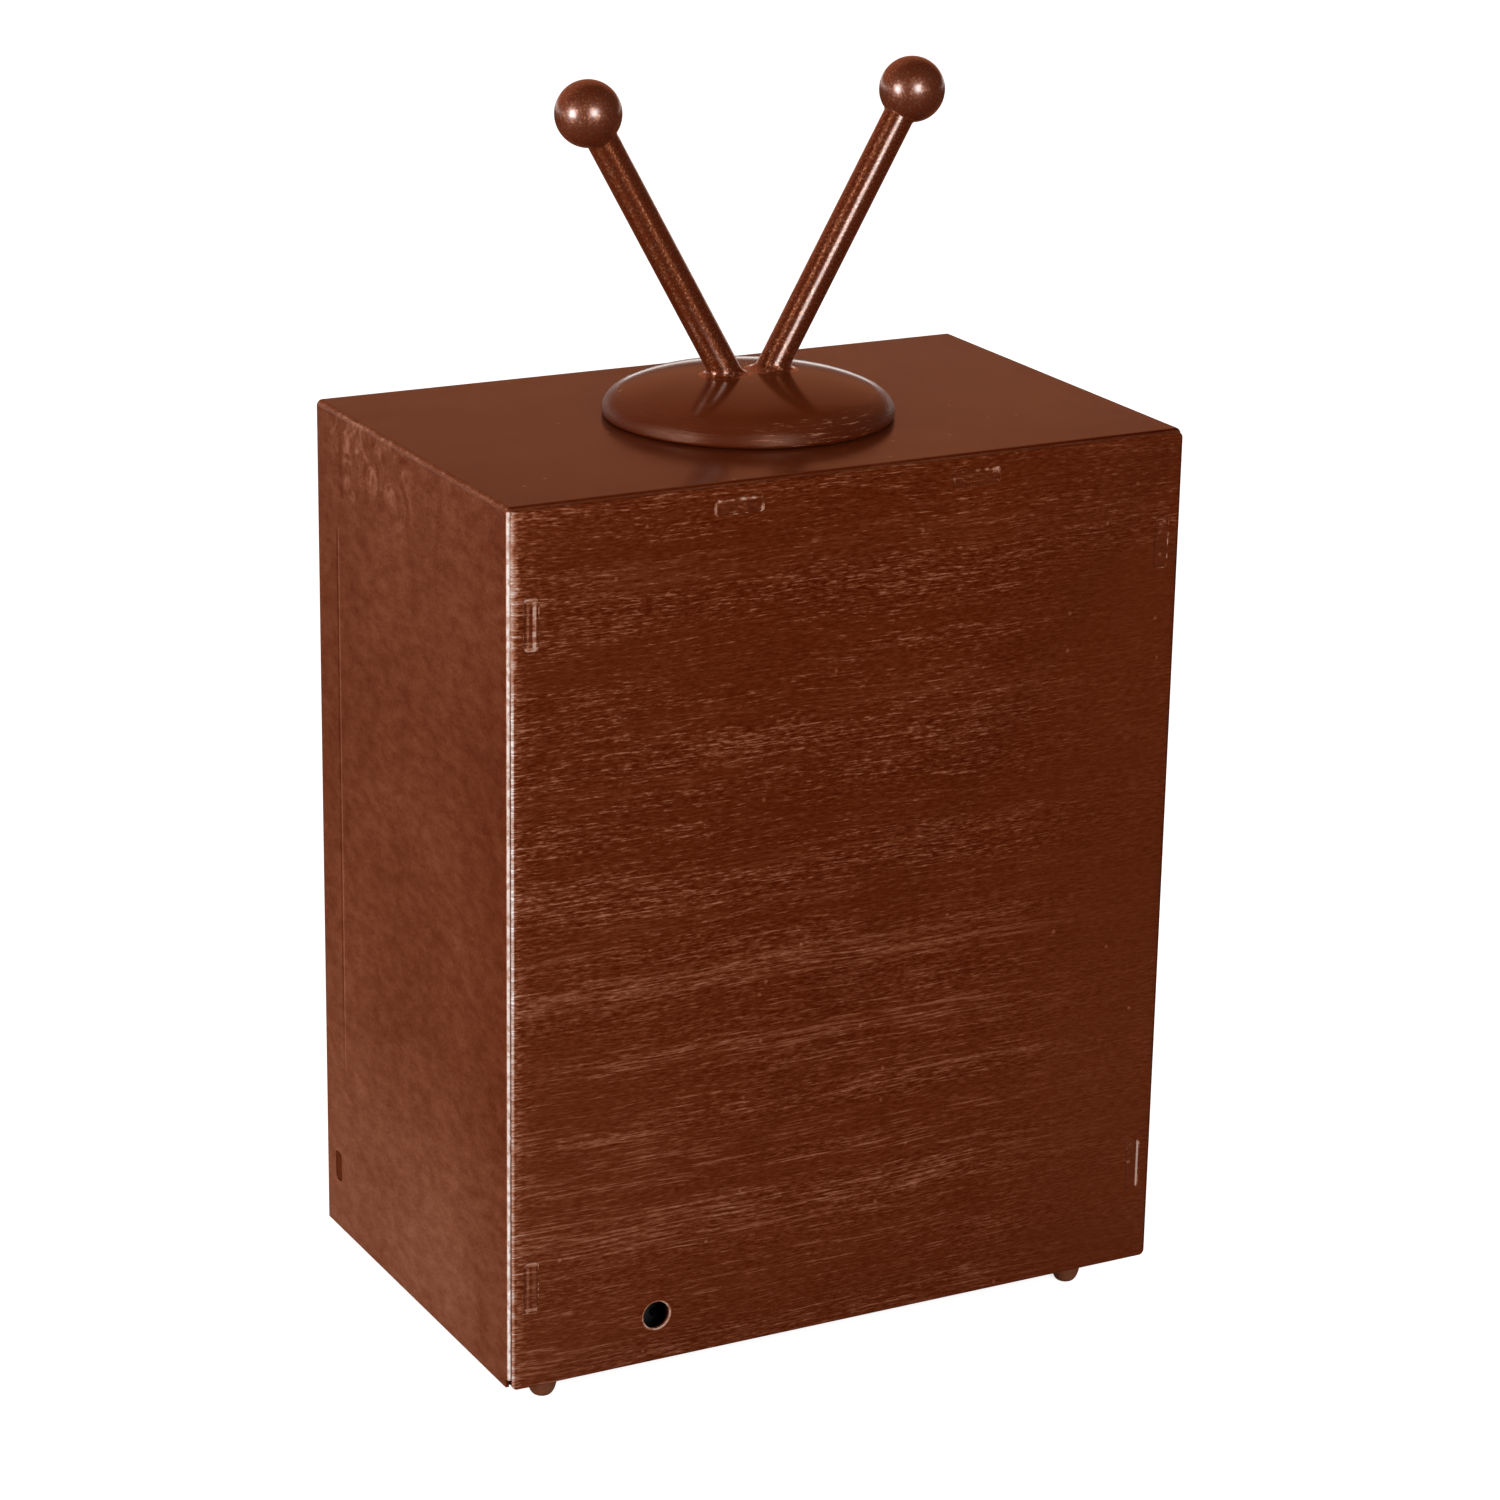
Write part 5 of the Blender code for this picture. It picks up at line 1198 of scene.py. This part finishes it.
loops += [screen_loop(-GAP - THICK, spring + THICK - bulge * (1 - s * s), s) for s in reversed(shares)]
pane = add_piece("screen_glow_pane", loft(loops), opal, replaces=["screen_pane"], smooth=50)
print("bow of the pane in mm:", round(bulge * 1000, 1))

# %% [markdown]
# Materials of the knobs
#
# The knobs are dark brown plastic, scuffed by fingers, with a cream line of paint. One colour each
# would look new. The plastic is clouded and its gloss broken by a fine noise, and the line is worn
# to a darker cream in places.

# %% Knob plastic and pointer paint
knob_plastic, tree, shader = new_material("knob_plastic")
where = put(tree, "ShaderNodeTexCoord").outputs["Object"]
tone = use_group(tree, cloud_group, {"Vector": where, "Scale": 120.0})["Tone"]
colour = mix_colour(tree, ramp(tree, tone, 0.3, 0.7), (0.026, 0.006, 0.002), (0.048, 0.011, 0.004))
scuffs = ramp(tree, noise(tree, where, 900.0, 4.0), 0.35, 0.7, 0.16, 0.34)
set_inputs(tree, shader, Base_Color=colour, Roughness=scuffs)

cream, tree, shader = new_material("cream_line")
where = put(tree, "ShaderNodeTexCoord").outputs["Object"]
wear = ramp(tree, noise(tree, where, 700.0, 4.0), 0.3, 0.7)
colour = mix_colour(tree, wear, (0.55, 0.42, 0.26), (0.78, 0.68, 0.50))
set_inputs(tree, shader, Base_Color=colour, Roughness=0.5)
print("knob materials:", knob_plastic.name, cream.name)

# %% [markdown]
# Shape of a knob
#
# A knob is a turned shape whose skirt is fluted for the fingers, hollow underneath for the bush and
# its nut. The flutes could be cut one by one. Here the radius of each loop dips a little at even
# steps, which gives all of them at once, and a dip of zero leaves a loop round.

# %% Shape a knob
FLUTES, KNOB_ROUND, KNOB_HOLLOW, SPINDLE_BORE = 36, 1.6 * MM, 8.58 * MM, 3.3 * MM
DISH, HOLLOW_TOP, BORE_TOP, FLUTE_DIP = 0.25 * MM, 10 * MM, 1.8 * MM, 0.45 * MM


def knob_mesh(radius, tall):
    """A fluted knob whose face is at height zero, from (radius, height, dip of the flutes)."""
    rim = [(radius - KNOB_ROUND + a, b - KNOB_ROUND, 0.0) for a, b in arc((0, 0), KNOB_ROUND, 90, 0, 8)]
    profile = [(0, -DISH, 0.0), (11 * MM, -DISH, 0.0), (12 * MM, -0.08 * MM, 0.0), *rim[:-1]]
    profile += [(radius, -KNOB_ROUND, 0.25 * MM), (radius, -2.4 * MM, FLUTE_DIP)]
    profile += [(radius, 0.6 * MM - tall, FLUTE_DIP), (radius, -tall, 0.3 * MM)]
    profile += [(KNOB_HOLLOW, -tall, 0.0), (KNOB_HOLLOW, -HOLLOW_TOP, 0.0)]
    profile += [(SPINDLE_BORE, -HOLLOW_TOP, 0.0), (SPINDLE_BORE, -BORE_TOP, 0.0), (0, -BORE_TOP, 0.0)]
    loops = []
    for reach, z, dip in profile:
        loop = []
        for i in range(4 * FLUTES):
            angle = 2 * math.pi * i / (4 * FLUTES)
            r = reach - dip * (0.5 - 0.5 * math.cos(FLUTES * angle))
            loop.append((r * math.cos(angle), r * math.sin(angle), z))
        loops.append(loop)
    return loft(loops)


print("flutes on a knob:", FLUTES)

# %% [markdown]
# Knobs and their lines
#
# A groove in each knob's face holds a cream pointer line. The line could be painted on, but a groove
# with a separate filling keeps its edge from close by. Both ride on the body of their own control,
# so they turn when its joint turns.

# %% Build the knobs
MARK = rounded_rectangle(1.6 * MM, 9.3 * MM, 0.8 * MM, 6)
FILLING = [(x * 0.96, y * 0.985) for x, y in MARK]
MARK_OFFSET, MARK_DEPTH, MARK_SUNK = 9.6 * MM, 0.8 * MM, 0.3 * MM
for kind in ("switch", "dimmer"):
    low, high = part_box(kind + "_knob")
    radius, tall = (high.x - low.x) / 2, high.y - low.y
    middle = Vector(((low.x + high.x) / 2, low.y, (low.z + high.z) / 2))
    place = Matrix.Translation(middle) @ Matrix.Rotation(math.pi / 2, 4, "X")
    body, stands_for = kind + "_control", [kind + "_knob"]
    built = knob_mesh(radius, tall)
    knob = add_piece(f"{kind}_fluted_knob", built, knob_plastic, body, stands_for, place, smooth=50)
    groove = loft([[(x, y + MARK_OFFSET, z) for x, y in MARK] for z in (-MARK_DEPTH, 0.5 * MM)])
    groove.transform(place)
    cut(knob, groove)
    line = loft([[(x, y + MARK_OFFSET, z) for x, y in FILLING] for z in (-MARK_DEPTH, -MARK_SUNK)])
    pointer = add_piece(f"{kind}_pointer_line", line, cream, body, place=place)
    print(kind, "knob in mm:", round(2000 * radius, 1), "x", round(1000 * tall, 1))

# %% [markdown]
# Materials of the other pieces
#
# The screws, nuts and brackets are bright zinc or brass. A metal in one colour looks like a mirror.
# Real plating has faint crystals and fine scratches from its making, so the cells of a Voronoi
# pattern and the clouds vary its colour and gloss, and the brush group gives the scratches.

# %% Metals
def metal(name, first, second, rough, scale):
    """A plated metal between two colours, with crystals of a given scale."""
    material, tree, shader = new_material(name)
    where = put(tree, "ShaderNodeTexCoord").outputs["Object"]
    cells = put(tree, "ShaderNodeTexVoronoi", {"Vector": where, "Scale": scale}).outputs["Distance"]
    tone = use_group(tree, cloud_group, {"Vector": where, "Scale": scale / 4})["Tone"]
    shade = blend(tree, cells, 0.5, tone)
    brushed = {"Vector": where, "Along": 60.0, "Across": 900.0, "Cover": 0.5, "Edge": 0.2}
    grain = use_group(tree, brush_group, brushed)["Grain"]
    bump = put(tree, "ShaderNodeBump", {"Height": grain, "Strength": 0.08, "Distance": 0.2 * MM})
    roughness = ramp(tree, shade, 0.2, 0.6, rough - 0.06, rough + 0.08)
    colour = mix_colour(tree, ramp(tree, shade, 0.2, 0.6), first, second)
    set_inputs(tree, shader, Base_Color=colour, Metallic=1.0, Roughness=roughness)
    set_inputs(tree, shader, Normal=bump.outputs["Normal"])
    return material


zinc = metal("bright_zinc", (0.46, 0.47, 0.49), (0.62, 0.63, 0.64), 0.36, 260.0)
brass = metal("plain_brass", (0.58, 0.39, 0.16), (0.74, 0.54, 0.25), 0.30, 320.0)
print("metals:", zinc.name, brass.name)

# %% [markdown]
# Mouldings, glass and leads
#
# Inside are black mouldings, a glazed lamp holder, an opal bulb and leads in black and white sleeves.
# They hardly show, so they could stay plain. But the vent slots let some of them be seen, and the
# function for moulded things finishes each in one line.

# %% Mouldings
black_moulding = moulding("black_moulding", (0.014, 0.014, 0.014), (0.026, 0.026, 0.026), 0.5, 160.0)
glazed = moulding("glazed_ceramic", (0.80, 0.78, 0.73), (0.87, 0.86, 0.82), 0.14, 60.0)
opal_glass = moulding("opal_glass", (0.88, 0.88, 0.86), (0.94, 0.94, 0.92), 0.10, 30.0)
black_sleeve = moulding("black_sleeve", (0.010, 0.010, 0.011), (0.020, 0.020, 0.022), 0.42, 200.0)
white_sleeve = moulding("white_sleeve", (0.68, 0.68, 0.66), (0.78, 0.78, 0.76), 0.42, 200.0)
print("materials in all:", len(bpy.data.materials))

# %% [markdown]
# Remaining CAD pieces
#
# Every piece that keeps its CAD shape still needs a surface. Each could be named here with its
# material. But the part's record already says which slot a piece belongs to, so a table from slot
# to material is shorter and can't miss one. Only the base has a coat of its own.

# %% Give each remaining CAD node its material
by_slot = {
    "brown_paint": front_paint,
    "brown_gloss": surround_paint,
    "dark_knob": knob_plastic,
    "opal": opal,
    "opal_glass": opal_glass,
    "zinc": zinc,
    "brass": brass,
    "black_plastic": black_moulding,
    "porcelain": glazed,
    "brown_rubber": rubber,
    "black_lead": black_sleeve,
    "white_lead": white_sleeve,
}
slot_of = {piece["node"]: piece["material_slot"] for piece in frame["record"]["subparts"]}
for name, node in frame["nodes"].items():
    material = base_paint if name == "base_plate" else by_slot[slot_of[name]]
    node.data.materials.clear()
    node.data.materials.append(material)
print("CAD nodes painted:", len(slot_of))

# %% [markdown]
# Floor
#
# The lamp stands on a plain white floor that runs off to the horizon. More light would make it white,
# but would also bleach the lamp. So the floor glows a little for the camera only, and still takes the
# lamp's soft shadow. What glossy paint mirrors is darker and warmer, as in a room.

# %% Floor
WARM_ROOM, DARK_ROOM, HORIZON = (0.40, 0.14, 0.068), (0.06, 0.018, 0.007), (2.2, 2.0, 1.9)
SHADED_ROOM, BRIGHT_ROOM = (tuple(share * c for c in WARM_ROOM) for share in (0.5, 1.3))
REACH = 14.0
corners = [(-REACH, -REACH, 0), (REACH, -REACH, 0), (REACH, REACH, 0), (-REACH, REACH, 0)]
floor_mesh = bpy.data.meshes.new("floor")
floor_mesh.from_pydata(corners, [], [(0, 1, 2, 3)])
floor = bpy.data.objects.new("floor", floor_mesh)
bpy.context.scene.collection.objects.link(floor)
white, tree, shader = new_material("white_floor")
ray = put(tree, "ShaderNodeLightPath").outputs
position = put(tree, "ShaderNodeNewGeometry").outputs["Position"]
distance = put(tree, "ShaderNodeVectorMath", {0: position}, operation="LENGTH").outputs["Value"]
toward = put(tree, "ShaderNodeSeparateXYZ", {0: position}).outputs["Y"]
warm = mix_colour(tree, ramp(tree, distance, 0.9, 1.3), SHADED_ROOM, DARK_ROOM)
room = mix_colour(tree, ramp(tree, distance, 5.0, 9.0), warm, HORIZON)
mirrored = mix_colour(tree, ramp(tree, toward, -0.35, 0.1, 1.0, 0.0), DARK_ROOM, room)
glow = math_node(tree, "MULTIPLY_ADD", ray["Is Camera Ray"], 0.8, ray["Is Glossy Ray"])
seen = mix_colour(tree, ray["Is Glossy Ray"], (1.0, 1.0, 1.0), mirrored)
plain = mix_colour(tree, ray["Is Glossy Ray"], (0.8, 0.8, 0.8), (0.0, 0.0, 0.0))
set_inputs(tree, shader, Base_Color=plain, Roughness=0.9, Specular_IOR_Level=0.0)
set_inputs(tree, shader, Emission_Color=seen, Emission_Strength=glow)
floor_mesh.materials.append(white)
print("floor in m:", 2 * REACH)

# %% [markdown]
# Room
#
# Around the lamp is a white studio. A picture of a real room could light it, but no image is used
# here. The background is built from the direction of each ray: white for the camera, a warm wall
# above a bright horizon for reflections, and a gentle fill from the front and the far side for the
# rest, so that no side of the lamp is lost in the dark.

# %% Room
world = bpy.data.worlds.new("studio")
bpy.context.scene.world = world
world.use_nodes = True
tree = world.node_tree
ray = put(tree, "ShaderNodeLightPath").outputs
heading = put(tree, "ShaderNodeTexCoord").outputs["Generated"]
direction = put(tree, "ShaderNodeSeparateXYZ", {0: heading}).outputs
wall = mix_colour(tree, ramp(tree, direction["Z"], 0.10, 0.20), SHADED_ROOM, BRIGHT_ROOM)
sweep = mix_colour(tree, ramp(tree, direction["Z"], 0.01, 0.035), HORIZON, wall)
mirrored = mix_colour(tree, ramp(tree, direction["Y"], -0.65, -0.3, 1.0, 0.0), DARK_ROOM, sweep)
before = ramp(tree, direction["Y"], -0.85, -0.7, 1.4, 0.0)
aside = ramp(tree, direction["X"], -0.9, -0.8, 1.2, 0.0)
fill = math_node(tree, "ADD", math_node(tree, "ADD", before, aside), 0.22)
lit = mix_colour(tree, ray["Is Camera Ray"], fill, (1.1, 1.1, 1.1))
level = mix_colour(tree, ray["Is Glossy Ray"], lit, mirrored)
tree.links.new(level, tree.nodes["Background"].inputs["Color"])
print("room nodes:", len(tree.nodes))

# %% [markdown]
# Lights
#
# Each ball shows two soft spots, so two large soft lights stood one beside the lamp and one behind
# it. Small lamps would give hard points, and the sky alone no spots at all. Two square area lights
# give both the spots and the soft shading, and their directions come from the places of the spots.

# %% Lights
AIM = Vector((0.0, 0.0, 0.2))
LIGHT_DISTANCE, LIGHT_SIZE = 2.0, 0.7


def softbox(name, direction, watts):
    """A square soft light that faces the lamp."""
    light = bpy.data.lights.new(name, "AREA")
    light.shape = "RECTANGLE"
    light.size = light.size_y = LIGHT_SIZE
    light.energy = watts
    lamp = bpy.data.objects.new(name, light)
    bpy.context.scene.collection.objects.link(lamp)
    lamp.location = AIM + Vector(direction).normalized() * LIGHT_DISTANCE
    lamp.rotation_euler = (AIM - lamp.location).to_track_quat("-Z", "Y").to_euler()


softbox("light_beside", (0.972, 0.147, 0.180), 27.0)
softbox("light_behind", (0.103, 0.949, 0.300), 22.0)

# %% [markdown]
# Camera
#
# The camera looks down on the lamp's back and one side through a long lens. It could be placed by
# eye, but a small error shows at every edge. Its place and turn were fitted so that the cabinet's
# corners fall where they do in the photograph, and the two directions are squared up before use.

# %% Camera
CAMERA_PLACE, LENS = (0.6707, 1.2683, 0.6648), 105.8
camera = bpy.data.objects.new("camera", bpy.data.cameras.new("camera"))
bpy.context.scene.collection.objects.link(camera)
right, down = Vector((-0.8855, 0.4643, 0.0159)), Vector((0.1328, 0.2857, -0.9491))
right.normalize()
down = (down - right * down.dot(right)).normalized()
turn = Matrix((right, -down, right.cross(-down))).transposed()
camera.matrix_world = Matrix.Translation(CAMERA_PLACE) @ turn.to_4x4()
camera.data.sensor_width = 36.0
camera.data.lens = LENS
camera.data.clip_end = 60.0
bpy.context.scene.camera = camera
bpy.context.scene.view_settings.view_transform = "Standard"
print("camera distance in m:", round((camera.location - AIM).length, 3))

# %% [markdown]
# Size of the dressed lamp
#
# The dressed lamp must stay as large as its CAD part. It could be measured by eye in a picture, but
# a box would tell it to the tenth of a millimetre.
